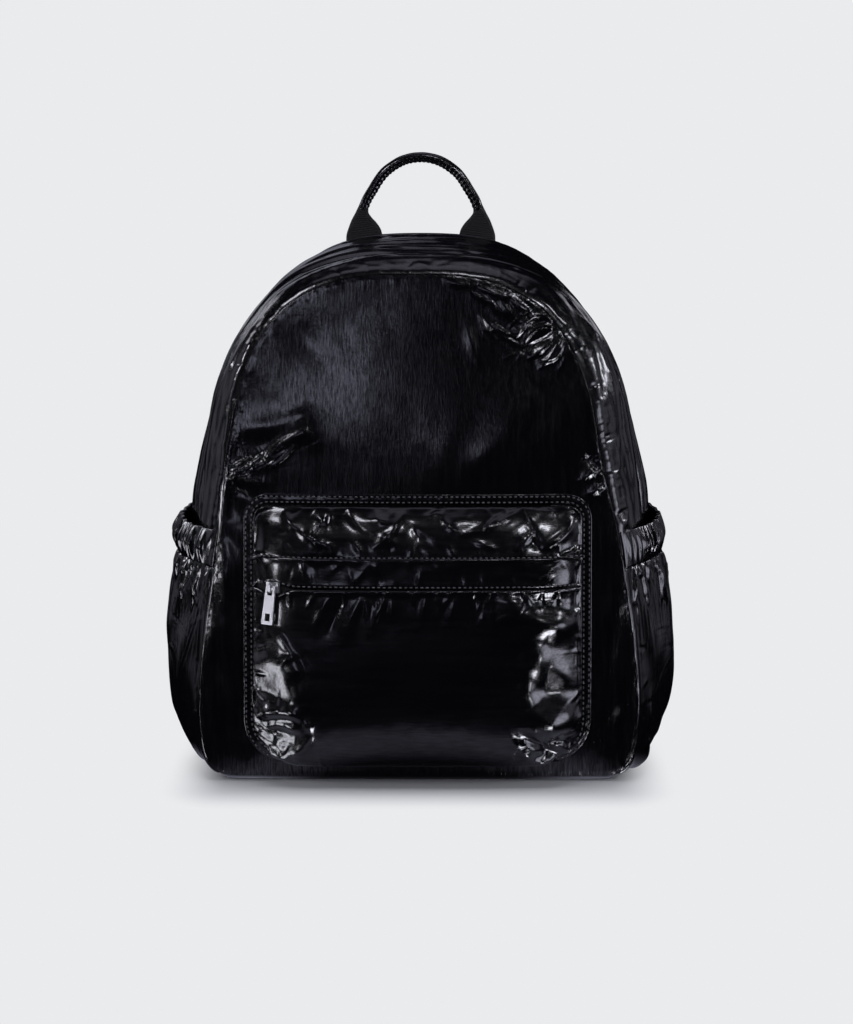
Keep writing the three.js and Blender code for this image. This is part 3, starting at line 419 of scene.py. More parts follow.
def cloth_links(faces):
    """Pairs of points that hold each other in a sheet: neighbours, corners across a cell, and points two
    apart, which keep the cloth from creasing too sharply. The last are marked as bends."""
    near, far, beside = set(), set(), {}
    for face in faces:
        count = len(face)
        for i in range(count):
            a, b = face[i], face[(i + 1) % count]
            near.add((min(a, b), max(a, b)))
            beside.setdefault((min(a, b), max(a, b)), []).append((face, i))
        if count == 4:
            near.update([(face[0], face[2]), (face[1], face[3])])
    for sharing in beside.values():
        if len(sharing) == 2:
            (one, i), (two, j) = sharing
            if len(one) == 3:
                far.add((one[i - 1], two[j - 1]))
            else:
                far.add((one[i - 1], two[(j + 2) % 4]))
                far.add((one[(i + 2) % 4], two[j - 1]))
    pairs = np.array(list(near) + list(far))
    return pairs, np.arange(len(pairs)) >= len(near)


def summed(index, values, count):
    """Sums of vectors that share an index."""
    return np.stack([np.bincount(index, values[:, k], count) for k in range(3)], 1)


def point_normals(points, faces):
    """Outward directions at the points of a sheet, from its faces."""
    faces = np.asarray(faces)
    one = points[faces[:, 2]] - points[faces[:, 0]]
    two = points[faces[:, -1]] - points[faces[:, 1]]
    across = np.cross(one, two)
    total = summed(faces.ravel(), np.repeat(across, faces.shape[1], axis=0), len(points))
    return total / np.maximum(np.linalg.norm(total, axis=1), 1e-12)[:, None]


def facing_front(points, faces):
    """The faces of a sheet, turned to look forward."""
    return faces[:, ::-1] if point_normals(points, faces)[:, 1].mean() > 0 else faces


def settled(points, faces, held, slack, push=0.012 * MM, rounds=260, bend=0.25, reach=5 * MM):
    """Lets a sheet of cloth find its own folds. slack says how much longer the cloth is cut than the space it
    fills, at the middle and in the direction of each link. Each round swells the sheet a little, then draws
    each pair of linked points towards its own length; held points stay, and none strays beyond reach."""
    pairs, is_bend = cloth_links([tuple(face) for face in faces])
    a, b = pairs.T
    gap = points[b] - points[a]
    length = np.linalg.norm(gap, axis=1)
    rest = length * (1 + slack((points[a] + points[b]) / 2, gap / length[:, None]))
    give = np.where(is_bend, bend, 1.0)
    weight = np.bincount(a, give, len(points)) + np.bincount(b, give, len(points))
    start, now = points, points.copy()
    for turn in range(rounds):
        if turn % 4 == 0:
            out = point_normals(now, faces) * np.where(held, 0, push)[:, None]
        now = now + out
        gap = now[b] - now[a]
        length = np.linalg.norm(gap, axis=1)
        miss = length - rest
        miss = np.where(is_bend, np.minimum(miss, 0), miss)
        pull = gap * (give * miss / length)[:, None]
        step = summed(a, pull, len(now)) - summed(b, pull, len(now))
        now = now + np.where(held, 0, 0.9 / weight)[:, None] * step
        strayed = now - start
        far = np.linalg.norm(strayed, axis=1)
        now = start + strayed * np.minimum(1, reach / np.maximum(far, 1e-12))[:, None]
    return now


def smoothed(points, faces, held, rounds):
    """Evens out the facets of a sheet without moving what is held."""
    pairs, is_bend = cloth_links([tuple(face) for face in faces])
    a, b = pairs[~is_bend].T
    count = np.bincount(a, minlength=len(points)) + np.bincount(b, minlength=len(points))
    for _ in range(rounds):
        mean = (summed(a, points[b], len(points)) + summed(b, points[a], len(points))) / count[:, None]
        points = np.where(held[:, None], points, 0.5 * points + 0.5 * mean)
    return points


def area_of(points, faces):
    """Area of a sheet of triangles or of four-sided cells."""
    corners = np.asarray(faces)
    one = points[corners[:, 2]] - points[corners[:, 0]]
    two = points[corners[:, -1]] - points[corners[:, 1]]
    if corners.shape[1] == 3:
        two = points[corners[:, 1]] - points[corners[:, 0]]
    return float(np.linalg.norm(np.cross(one, two), axis=1).sum() / 2)


def stand_for(piece, node):
    """Fixes a piece to the bag, in place of a CAD node."""
    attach(piece, "bag")
    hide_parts(node)


def sewn(name, node, points, faces, material, flat, thick=NYLON_THICK):
    """Turns a sheet into a piece of cloth: gives it thickness inwards and stands it for its node.
    flat is the width and length that it was cut to; it is not used."""
    piece = new_piece(name, points, faces, material)
    wall = piece.modifiers.new("thickness", "SOLIDIFY")
    wall.thickness = thick
    wall.offset = -1
    stand_for(piece, node)
    min(area_of(points, faces), flat[0] * flat[1])
    return piece


nylon_panel = coated_nylon("coated nylon, brushed upright grain", "z", yarn_high=0.1, polished=(0.2, 0.9))
nylon_upright = coated_nylon("coated nylon, upright grain", "z")
nylon_level = coated_nylon("coated nylon, level grain", "x")

# The folds that show in the photo, as fold_heights takes them.
PANEL_FOLDS = [
    (-73, 268, -56, 248, 4.5, -0.5, 1), (-39, 268, -51, 259, 4, -0.3, -1),
    (-112, 181.6, -90, 189, 2.4, 2.2, 1), (-90, 189, -68.5, 205, 2.2, 2.6, -2),
    (-104, 196, -73, 207, 6, -1.8, 3), (-105, 207, -69, 214, 4, 1.6, 2), (-69, 214, -62, 200, 3.5, 1.8, 2),
    (-98, 184, -79, 194, 1.3, 1.0, 1), (-90, 184, -71, 200, 1.2, 0.9, 2), (-112, 180, -92, 176, 2.2, 1.4, 1),
    (-111, 178, -100, 169, 2, -1.2), (-110, 184, -100, 190, 1.6, 1.0),
    (16, 294, 34, 291, 1.6, 1.1, 1), (34, 291, 54, 284, 2, 1.5, 1), (54, 284, 64, 275, 2.2, 1.5, 1),
    (46, 283, 58, 271, 2.6, 1.5, 1), (40, 284, 50, 274, 1.4, 1.0, 1), (30, 288, 42, 281, 1.3, 0.9, 1),
    (58, 263, 67, 273, 1.4, 1.3, -1), (67, 273, 80, 272, 1.4, 1.4, -1), (61, 257.5, 69, 266.5, 1.4, 1.3, -1),
    (69, 266.5, 80, 267, 1.3, 1.3, -1), (65, 249.5, 82, 264, 1.3, 1.4, 1),
    (71, 243.5, 83.5, 262, 1.4, 1.4, 1), (78, 248, 85, 261, 1.2, 1.2, 1), (62, 253, 78, 264, 1.6, -1.2, 1),
    (60, 268, 74, 270, 1.4, -1.2), (70, 247, 82, 251, 1.4, 1.0, 1), (28, 268, 34, 248, 2.2, 0.8, 1),
    (36, 272, 44, 260, 1.6, 0.9, 1), (44, 268, 54, 262, 1.5, 1.0, 1), (48, 262, 58, 256, 1.4, 0.8),
    (-126, 107, -107, 72, 5, 1.6, 2), (-120, 92, -110, 58, 4, -1.2, 1), (124, 112, 106, 88, 4, 0.4, 2),
    (-122, 60, -108, 40, 4, 1.0, 1), (27, 179, 61, 225, 6, 1.6, 2), (53, 184, 82, 214, 6, 1.5, 2),
    (7, 178, 23, 218, 5, 0.5, 1),
    (108, 185, 95, 178, 2.2, 1.4, 1), (109, 178, 98, 169, 2.2, 1.3, -1), (107, 192, 97, 190, 2.2, -1.0),
]
# Smaller folds, strewn where the photo has many, as random_folds takes them.
PANEL_STREWN = [
    (41, 12, (-124, 12), (-104, 170), 118, 16, (16, 44), (2.4, 5), (0.5, 1.2)),
    (42, 10, (104, 12), (124, 170), 62, 16, (16, 44), (2.4, 5), (0.2, 0.5)),
    (43, 14, (40, 246), (84, 288), 35, 30, (5, 14), (1, 1.8), (0.3, 0.8)),
    (44, 4, (-112, 172), (-90, 192), 30, 25, (5, 16), (0.9, 1.6), (0.3, 0.8)),
    (45, 5, (94, 170), (114, 196), 130, 40, (6, 16), (1, 2), (0.4, 0.9)),
]
# Zones of small folds, from and to, and crumpled patches as spots_at takes them, all in millimetres.
FINE_ZONES = [(12, 240, 92, 300), (-116, 168, -58, 218), (92, 164, 118, 200)]
PANEL_SPOTS = [(62, 268, 26, 18, 0.02), (-92, 196, 22, 16, 0.015), (104, 182, 12, 14, 0.03),
               (-104, 182, 12, 14, 0.03)]
PANEL_MIDDLE = np.array([0, 0.15])
EDGE_FLAT = 26 * MM
TOP_ROUND = 15 * MM
LOW_ROUND = 26 * MM
LEAN = 3.6 * MM
LEAN_FROM = 140 * MM
LEAN_OVER = 60 * MM
CORNER_X = 114 * MM
CORNER_Z = 11 * MM
CORNER_REACH = 14 * MM

# The seam leans a little to the left above the pocket, and is pulled down and out at the lower corners.
seam = evenly(doubled(outline_of("front_panel"), closed=True), PANEL_STEP, closed=True)
lean = np.clip((seam[:, 2] - LEAN_FROM) / LEAN_OVER, 0, 1)
seam[:, 0] -= LEAN * lean * lean * (3 - 2 * lean)
seam[:, 2] -= 2.2 * MM * np.clip((14 * MM - seam[:, 2]) / (8 * MM), 0, 1)
corner = np.exp(-((np.abs(seam[:, 0]) - CORNER_X) / CORNER_REACH) ** 2
                - ((seam[:, 2] - CORNER_Z) / CORNER_REACH) ** 2)
seam[:, 0] += np.sign(seam[:, 0]) * 5 * MM * corner
seam[:, 2] -= 3.5 * MM * corner
seam[:, 2] = np.maximum(seam[:, 2], 1.6 * MM)
panel_depth = front_of("front_panel")


def further_in(places, by, middle=PANEL_MIDDLE):
    """Places seen from the front, moved towards a middle."""
    way = middle - places
    return places + way / np.linalg.norm(way, axis=1)[:, None] * np.reshape(by, (-1, 1))


level = np.array([panel_depth(x, z) for x, z in further_in(seam[:, [0, 2]], 20 * MM)])
seam[:, 1] = evened(level, 60) + 0.5 * MM

# A mesh of even triangles inside the seam.
columns, rows = np.meshgrid(np.arange(-85, 86), np.arange(0, 200))
inner_x = (columns + 0.5 * (rows % 2)).ravel() * PANEL_STEP
inner_z = rows.ravel() * PANEL_STEP * math.sqrt(0.75)
ahead = np.roll(seam, -1, axis=0)
crossing = (seam[:, 2] > inner_z[:, None]) != (ahead[:, 2] > inner_z[:, None])
slant = (ahead[:, 0] - seam[:, 0]) / (ahead[:, 2] - seam[:, 2] + 1e-12)
cut_x = seam[:, 0] + (inner_z[:, None] - seam[:, 2]) * slant
inside = (crossing & (inner_x[:, None] < cut_x)).sum(1) % 2 == 1
clear = np.hypot(inner_x[:, None] - seam[:, 0], inner_z[:, None] - seam[:, 2]).min(1) > 0.7 * PANEL_STEP
inner = np.stack([inner_x, inner_z], 1)[inside & clear]
flat = [Vector(p) for p in np.concatenate([seam[:, [0, 2]], inner])]
around = [(i, (i + 1) % len(seam)) for i in range(len(seam))]
cut = geometry.delaunay_2d_cdt(flat, around, [], 1, 1e-6)
panel_faces = np.array([face for face in cut[2]])
panel_xz = np.array([tuple(p) for p in cut[0]])
seam_tree = tree_of(seam * (1, 0, 1))
pocket_low, pocket_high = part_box("pocket_border")


def where_on_panel(places):
    """For places seen from the front: the nearest point of the seam, how far off it is, whether they are on
    it, and whether they lie under the pocket."""
    found = [seam_tree.find((x, 0, z)) for x, z in places]
    off = np.array([f[2] for f in found])
    middle = np.array([pocket_low.x + pocket_high.x, pocket_low.z + pocket_high.z]) / 2
    half = np.array([pocket_high.x - pocket_low.x, pocket_high.z - pocket_low.z]) / 2
    rounding = np.where(places[:, 1] < middle[1], LOW_ROUND, TOP_ROUND)[:, None]
    beyond = np.maximum(np.abs(places - middle) - half + rounding, 0)
    return found, off, off < 1e-5, np.linalg.norm(beyond, axis=1) < rounding[:, 0] - 2 * MM


def finer(points, faces, zones):
    """Halves the triangles of a sheet in zones seen from the front, where its folds are small."""
    bm = bmesh.new()
    corners = [bm.verts.new(p) for p in points]
    for face in faces:
        bm.faces.new([corners[i] for i in face])
    split = []
    for edge in bm.edges:
        x, _, z = (edge.verts[0].co + edge.verts[1].co) / 2 / MM
        if not edge.is_boundary and any(x0 < x < x1 and z0 < z < z1 for x0, z0, x1, z1 in zones):
            split.append(edge)
    bmesh.ops.subdivide_edges(bm, edges=split, cuts=1)
    bmesh.ops.triangulate(bm, faces=bm.faces[:])
    bm.verts.index_update()
    points = np.array([v.co for v in bm.verts])
    faces = np.array([[v.index for v in f.verts] for f in bm.faces])
    bm.free()
    return points, faces


# The panel takes its depth from the CAD piece, and stays full up to its seam.
found, panel_off, on_seam, under_pocket = where_on_panel(panel_xz)
at_seam = np.array([seam[f[1]][1] for f in found])
panel_y = np.array([panel_depth(x, z) for x, z in panel_xz])
panel_y = np.where(on_seam | np.isnan(panel_y), at_seam, panel_y)
panel_points = np.stack([panel_xz[:, 0], panel_y, panel_xz[:, 1]], 1)
panel_faces = facing_front(panel_points, panel_faces)
further = further_in(panel_xz, np.maximum(EDGE_FLAT - panel_off, 0))
level = np.array([panel_depth(x, z) for x, z in further])
square = np.clip(1.15 - panel_off / EDGE_FLAT, 0, 1) * ~on_seam
panel_points[:, 1] += (level - panel_points[:, 1]) * square
panel_points[:, 1] = smoothed(panel_points, panel_faces, on_seam | under_pocket, 150)[:, 1]
panel_points, panel_faces = finer(panel_points, panel_faces, FINE_ZONES)
found, panel_off, on_seam, under_pocket = where_on_panel(panel_points[:, [0, 2]])
open_cloth = np.clip(panel_off / (6 * MM), 0, 1) * ~under_pocket
panel_points[:, 1] -= fold_heights(PANEL_FOLDS, panel_points[:, 0], panel_points[:, 2]) * open_cloth
panel_points[:, 1] -= 0.08 * MM * lumps_of(panel_points, 12 * MM, 1) * open_cloth
strewn = strewn_folds(PANEL_STREWN)
panel_points[:, 1] -= fold_heights(strewn, panel_points[:, 0], panel_points[:, 2]) * open_cloth
seam_run = np.array([f[1] for f in found]) * PANEL_STEP
puckers = seam_puckers(46, len(seam) * PANEL_STEP, pitch=(4, 12), reach=(2, 7), height=(0.05, 0.22))
panel_points[:, 1] -= fold_heights(puckers, seam_run, panel_off) * ~under_pocket


def panel_slack(middle, direction):
    """How much longer the panel is cut than its place: more along the seam, and in its crumpled patches."""
    nearest = [seam_tree.find((x, 0, z)) for x, _, z in middle]
    off = np.array([n[2] for n in nearest])
    tangent = np.array([seam[(n[1] + 1) % len(seam)] - seam[n[1] - 1] for n in nearest])
    tangent /= np.linalg.norm(tangent, axis=1)[:, None]
    along_seam = (direction * tangent).sum(1) ** 2
    patchy = 1 + 0.9 * lumps_of(middle, 40 * MM, 2)
    at_seam = 0.006 * np.exp(-off / (5 * MM)) * along_seam * patchy
    return 0.002 + at_seam + spots_at(PANEL_SPOTS, middle[:, 0], middle[:, 2])


panel_points = settled(panel_points, panel_faces, on_seam | under_pocket, panel_slack, push=0.002 * MM,
                       rounds=200)

# The edge turns in behind the seam.
rim = np.flatnonzero(on_seam)
rim = rim[np.argsort(np.array([f[1] for f in found])[on_seam])]
fold_line = panel_points[rim]
turn_in = fold_line + np.array([0, 4 * MM, 0])
turn_in[:, [0, 2]] += (PANEL_MIDDLE - turn_in[:, [0, 2]]) * 0.008
panel_points[np.ix_(rim, [0, 2])] = further_in(fold_line[:, [0, 2]], 0.35 * MM)
count = len(rim)
lines = np.stack([rim, len(panel_points) + np.arange(count), len(panel_points) + count + np.arange(count)])
after = np.roll(lines, -1, axis=1)
tuck = np.stack([lines[:-1], after[:-1], lines[1:], after[:-1], after[1:], lines[1:]], -1).reshape(-1, 3)
panel_points = np.vstack([panel_points, fold_line, turn_in])
edge_out = point_normals(panel_points, tuck)[lines[1]]
if (edge_out * (fold_line - fold_line.mean(0))).sum() < 0:
    tuck = tuck[:, ::-1]
panel_faces = np.vstack([panel_faces, tuck])
sewn("front_panel_cloth", "front_panel", panel_points, panel_faces, nylon_panel, PANEL_CUT)

# Strips along the arch: two long puffed strips of the same nylon, either side of the main zip. Sewn to a
# flat tape, they pucker all along both edges; the one behind lies in long folds.
WALL_MIDDLE = Vector((0, -5, 150)) * MM
SHARPEST = math.radians(60)
# Name, node, how slack its edges are, seed, mesh step, and the number and widths of its long folds.
STRIPS = [
    ("front_strip_cloth", "zip_strip_front", 0.02, 3, 1.3 * MM, 70, (0.8, 1.8)),
    ("back_strip_cloth", "zip_strip_back", 0.01, 4, 2 * MM, 24, (1.8, 3.4)),
]


def outwards(face):
    """How large a face is, as seen from outside the bag."""
    return face.calc_area() * face.normal.dot((face.calc_center_median() - WALL_MIDDLE).normalized())


def cloth_rows(node):
    """The outer face of a wall of cloth in the frame, as rows and columns of points."""
    bm = bmesh.new()
    bm.from_mesh(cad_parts[node].data)
    bmesh.ops.remove_doubles(bm, verts=bm.verts, dist=1e-6)
    bm.normal_update()
    first = max(bm.faces, key=outwards)
    outer, todo = {first}, [first]
    while todo:
        face = todo.pop()
        for other in {f for edge in face.edges for f in edge.link_faces} - outer:
            if other.normal.angle(face.normal) < SHARPEST:
                outer.add(other)
                todo.append(other)
    bmesh.ops.delete(bm, geom=[f for f in bm.faces if f not in outer], context="FACES")
    bmesh.ops.join_triangles(bm, faces=bm.faces[:], angle_face_threshold=math.pi,
                             angle_shape_threshold=math.pi)
    row = [next(v for v in bm.verts if len(v.link_faces) == 1)]
    row.append(next(e.other_vert(row[0]) for e in row[0].link_edges))
    while len(row[-1].link_faces) != 1:
        onward = [e.other_vert(row[-1]) for e in row[-1].link_edges if e.is_boundary]
        row.append(next(v for v in onward if v is not row[-2]))
    rows, used = [row], set()
    while True:
        beyond = {}
        for a, b in zip(row, row[1:]):
            side = next(e for e in a.link_edges if e.other_vert(a) is b)
            face = next((f for f in side.link_faces if f not in used), None)
            if face is None:
                break
            used.add(face)
            corners = list(face.verts)
            i, j = corners.index(a), corners.index(b)
            step = -1 if corners[(i + 1) % 4] is b else 1
            beyond[a] = corners[(i + step) % 4]
            beyond[b] = corners[(j - step) % 4]
        if len(beyond) < len(row):
            break
        row = [beyond[v] for v in row]
        rows.append(row)
    grid = np.array([[v.co for v in line] for line in rows])
    bm.free()
    return grid


def turned(grid, across):
    """The grid with its columns running the way that across points."""
    way = np.array(across, float)
    first = (grid[-1] - grid[0]).mean(0)
    second = (grid[:, -1] - grid[:, 0]).mean(0)
    if abs(first @ way) / np.linalg.norm(first) > abs(second @ way) / np.linalg.norm(second):
        grid = grid.transpose(1, 0, 2)
        second = first
    return grid if second @ way > 0 else grid[:, ::-1]


def fine(grid, step):
    """Doubles rows and columns until each is closer than a step."""
    for axis in (0, 1):
        while np.linalg.norm(np.diff(grid, axis=axis), axis=2).mean() > step:
            grid = doubled(grid, axis)
    return grid


def cut_of(grid):
    """Width and length that a sheet was cut to, with a little more for its seams."""
    across = np.linalg.norm(np.diff(grid, axis=1), axis=2).sum(1).max()
    along = np.linalg.norm(np.diff(grid, axis=0), axis=2).sum(0).max()
    return max(across, 10 * MM) + 2 * MM, max(along, 10 * MM) + 2 * MM


def sheet_of(grid):
    """Points, faces that look away from the bag's middle, and each point's share along rows and columns."""
    rows, columns = grid.shape[:2]
    points = grid.reshape(-1, 3)
    at = np.arange(rows * columns).reshape(rows, columns)
    faces = np.stack([at[:-1, :-1], at[:-1, 1:], at[1:, 1:], at[1:, :-1]], -1).reshape(-1, 4)
    away = points - np.array(WALL_MIDDLE)
    if (point_normals(points, faces) * away).sum() < 0:
        faces = faces[:, ::-1]
    along, across = np.meshgrid(np.linspace(0, 1, rows), np.linspace(0, 1, columns), indexing="ij")
    return points, faces, along.ravel(), across.ravel()


def edges_of(along, across):
    """Which points of a sheet lie on its edges."""
    return (along == 0) | (along == 1) | (across == 0) | (across == 1)


seam_line = tree_of(seam)


def drawn_to_seam(grid, gap, fade=18 * MM):
    """Draws the front edge of a wall of cloth up to the front panel's seam, and the cloth behind it less."""
    edge = np.array([seam_line.find(p)[0] for p in grid[:, 0]])
    out = grid[:, 0] - np.array([0, 0, 0.15])
    out[:, 1] = 0
    out /= np.linalg.norm(out, axis=1)[:, None]
    shift = edge + out * gap - np.array([0, 0.2 * MM, 0]) - grid[:, 0]
    for _ in range(12):
        shift[1:-1] = (shift[:-2] + 2 * shift[1:-1] + shift[2:]) / 4
    off = np.linalg.norm(grid - grid[:, :1], axis=2)
    return grid + shift[:, None] * np.clip(1 - off / fade, 0, 1)[:, :, None] ** 2


def tucked(grid, faces, depth=3 * MM):
    """Turns the long edges of a sheet in behind it, as its seams do."""
    normals = point_normals(grid.reshape(-1, 3), faces).reshape(grid.shape)
    first, last = grid[:, :1], grid[:, -1:]
    by_first = first * 0.85 + grid[:, 1:2] * 0.15
    by_last = last * 0.85 + grid[:, -2:-1] * 0.15
    return np.concatenate([first - normals[:, :1] * depth, first, by_first, grid[:, 1:-1], by_last, last,
                           last - normals[:, -1:] * depth], 1)


for name, node, slackness, seed, step, fold_count, fold_widths in STRIPS:
    grid = fine(turned(cloth_rows(node), (0, 1, 0)), step)
    if node == "zip_strip_front":
        grid = drawn_to_seam(grid, 0.2 * MM)
    else:
        grid[:, :, 2] -= 1.2 * MM * np.clip((grid[:, :, 2] - 290 * MM) / (25 * MM), 0, 1)
    points, faces, along, across = sheet_of(grid)
    held = edges_of(along, across)
    run = np.gradient(grid, axis=0).reshape(-1, 3)
    run /= np.linalg.norm(run, axis=1)[:, None]
    run_tree = tree_of(points)
    width, length = cut_of(grid)
    lie = np.stack([along * length / (70 * MM), across * width / (11 * MM) + along * 4, along * 0], 1)
    swell = np.clip(np.minimum(across, 1 - across) * width / (8 * MM), 0, 1) * ~held
    heights = 0.8 * MM * lumps_of(lie, 1, seed) + 0.1 * MM * lumps_of(points, 7 * MM, seed)
    long_folds = random_folds(seed + 50, fold_count, (0, 3), (length / MM, width / MM - 3), 0, 9, (30, 110),
                              fold_widths, (0.4, 1.2))
    heights += fold_heights(long_folds, along * length, across * width)
    front_puckers = seam_puckers(seed + 60, length, (2.4, 6), (2.5, 10), (0.8, 1.3), (0.25, 0.8))
    puckers = fold_heights(front_puckers, along * length, across * width)
    puckers += fold_heights(seam_puckers(seed + 70, length), along * length, (1 - across) * width)
    if node == "zip_strip_back":
        heights -= 2.8 * MM * np.clip((points[:, 2] - 170 * MM) / (40 * MM), 0, 1)
    points = points + point_normals(points, faces) * (heights * swell + puckers * ~held)[:, None]

    def strip_slack(middle, direction):
        """How much longer the strip is cut than its place: most along its sewn edges."""
        near = np.array([run_tree.find(p)[1] for p in middle])
        edge = np.minimum(across[near], 1 - across[near]) * width
        along_strip = (direction * run[near]).sum(1) ** 2
        patchy = np.maximum(1 + 1.6 * lumps_of(middle, 32 * MM, seed + 0.5), 0.1)
        return 0.004 + slackness * np.exp(-edge / (5 * MM)) * along_strip * patchy + 0.03 * (1 - along_strip)

    points = settled(points, faces, held, strip_slack, rounds=220, reach=3 * MM)
    grid = tucked(points.reshape(grid.shape), faces)
    points, faces = sheet_of(grid)[:2]
    sewn(name, node, points, faces, nylon_upright, cut_of(grid))

# Side gussets and base: the lower part of the same band of cloth, round the sides and under the bag. The
# base lies flat where the bag stands. Name, node, seed and how far outside the seam its edge is drawn.
LOWER_BAND = [
    ("side_gusset_left_cloth", "side_gusset_left", 5, 0.3 * MM),
    ("side_gusset_right_cloth", "side_gusset_right", 6, 0.3 * MM),
    ("base_cloth", "base_panel", 7, -1 * MM),
]
STANDS_BELOW = 1.5 * MM
for name, node, seed, gap in LOWER_BAND:
    grid = drawn_to_seam(fine(turned(cloth_rows(node), (0, 1, 0)), 3 * MM), gap)
    if node == "base_panel":
        front_up = grid[:, :1, 2] * np.clip(1 - (grid[:, :, 1] - grid[:, :1, 1]) / (6 * MM), 0, 1) ** 1.5
        end_up = 10.6 * MM * np.clip((np.abs(grid[:, :, 0]) - 110 * MM) / (11.5 * MM), 0, 1) ** 2
        grid[:, :, 2] = np.minimum(grid[:, :, 2], np.maximum(front_up, end_up))
    grid[:, :, 2] = np.maximum(grid[:, :, 2], 0)
    points, faces, along, across = sheet_of(grid)
    held = edges_of(along, across) | (points[:, 2] < STANDS_BELOW)
    rise = np.clip((points[:, 2] - STANDS_BELOW) / (10 * MM), 0, 1) * ~held
    width, length = cut_of(grid)
    puckers = fold_heights(seam_puckers(seed + 60, length), along * length, across * width)
    heights = 0.4 * MM * lumps_of(points, 14 * MM, seed) + puckers
    points = points + point_normals(points, faces) * (heights * rise)[:, None]
    points[:, 2] = np.maximum(points[:, 2], 0)
    grid = tucked(points.reshape(grid.shape), faces)
    points, faces = sheet_of(grid)[:2]
    sewn(name, node, points, faces, nylon_upright, cut_of(grid))

# Front pocket, its border: a flat folded strip of nylon, laid on the panel round the pocket and stitched
# twice round. The profile is the share across the strip from its outer edge, and the height in millimetres.
BORDER_WIDE = 6.4 * MM
BORDER_CUT = 12 * MM
BORDER_THICK = 1 * MM
BORDER_LEVEL = 2.2 * MM
BORDER_STEP = 1.5 * MM
BORDER_PROFILE = [(0, -0.6), (0.07, 0.1), (0.25, 0), (0.4, 0.2), (0.6, 0.2), (0.75, 0), (0.87, 0.25),
                  (0.96, 0.2), (1, -1.4)]
pocket_mid_x = (pocket_low.x + pocket_high.x) / 2


def rounded_outline(inset):
    """The pocket's outline taken in by an inset, as points on the panel."""
    half = (pocket_high.x - pocket_low.x) / 2 - inset
    low, high = pocket_low.z + inset, pocket_high.z - inset
    line = []
    for x, z, radius, start in [(half, low, LOW_ROUND - inset, -90), (half, high, TOP_ROUND - inset, 0),
                                (-half, high, TOP_ROUND - inset, 90), (-half, low, LOW_ROUND - inset, 180)]:
        middle_x = x - math.copysign(radius, x)
        middle_z = z + (radius if z == low else -radius)
        for turn in np.radians(start + np.linspace(0, 90, 13)):
            line.append((pocket_mid_x + middle_x + radius * math.cos(turn), 0,
                         middle_z + radius * math.sin(turn)))
    return np.array(line + line[:1])


border_count = int(2 * (pocket_high.x - pocket_low.x + pocket_high.z - pocket_low.z) / BORDER_STEP)
border_run = np.concatenate([[0], np.cumsum(np.linalg.norm(np.diff(rounded_outline(0), axis=0), axis=1))])
border_at = np.linspace(0, border_run[-1], border_count, endpoint=False)


def ring_at(inset):
    """Points of an inset outline, opposite those of the outer one."""
    ring = rounded_outline(inset)
    line = np.stack([np.interp(border_at, border_run, ring[:, k]) for k in range(3)], 1)
    line[:, 1] = [panel_depth(x, z) - BORDER_LEVEL for x, _, z in line]
    return line


def ring_faces(count, sides):
    """Cells between closed rings of points that are listed ring by ring."""
    at = np.arange(count * sides).reshape(count, sides)
    after = np.roll(at, -1, axis=1)
    return np.stack([at[:-1], at[1:], after[1:], after[:-1]], -1).reshape(-1, 4)


border_rows = []
for share, height in BORDER_PROFILE:
    line = ring_at(BORDER_WIDE * (1 - share))
    for _ in range(3):
        line[:, 1] = (np.roll(line[:, 1], 1) + line[:, 1] + np.roll(line[:, 1], -1)) / 3
    line[:, 1] -= height * MM
    border_rows.append(line)
border = np.array(border_rows)
ripple = 0.3 * MM * lumps_of(border.reshape(-1, 3), 3.6 * MM, 8).reshape(border.shape[:2])
border[1:-1, :, 1] -= ripple[1:-1]
border_points = border.reshape(-1, 3)
border_faces = facing_front(border_points, ring_faces(*border.shape[:2]))
sewn("pocket_border_cloth", "pocket_border", border_points, border_faces, nylon_level,
     (BORDER_CUT, border_run[-1]), thick=BORDER_THICK)

# Front pocket, its face: nylon in three parts inside the border. The lower one is swollen and slumps, with
# bright creased cheeks at its ends; a flat strip hangs over the zip; the band along the top is puffed and
# crushed.
POCKET_STEP = 1.05 * MM
POCKET_THICK = 1.6 * MM
POCKET_ROUND = 19.2 * MM
TOP_CORNER = 8.2 * MM
EDGE_LIFT = 1.2 * MM
STEEPEST = {"left": 2.2, "right": 1.0, "top": 1.2}


def pocket_half(z):
    """Half the width of the pocket inside its border at a height."""
    half = (pocket_high.x - pocket_low.x) / 2 - BORDER_WIDE + 0.6 * MM
    low = POCKET_ROUND - (z - pocket_low.z - BORDER_WIDE - 0.4 * MM)
    high = TOP_CORNER - (pocket_high.z - BORDER_WIDE - 0.4 * MM - z)
    half -= POCKET_ROUND - math.sqrt(POCKET_ROUND ** 2 - min(max(low, 0), POCKET_ROUND) ** 2)
    return half - TOP_CORNER + math.sqrt(TOP_CORNER ** 2 - min(max(high, 0), TOP_CORNER) ** 2)


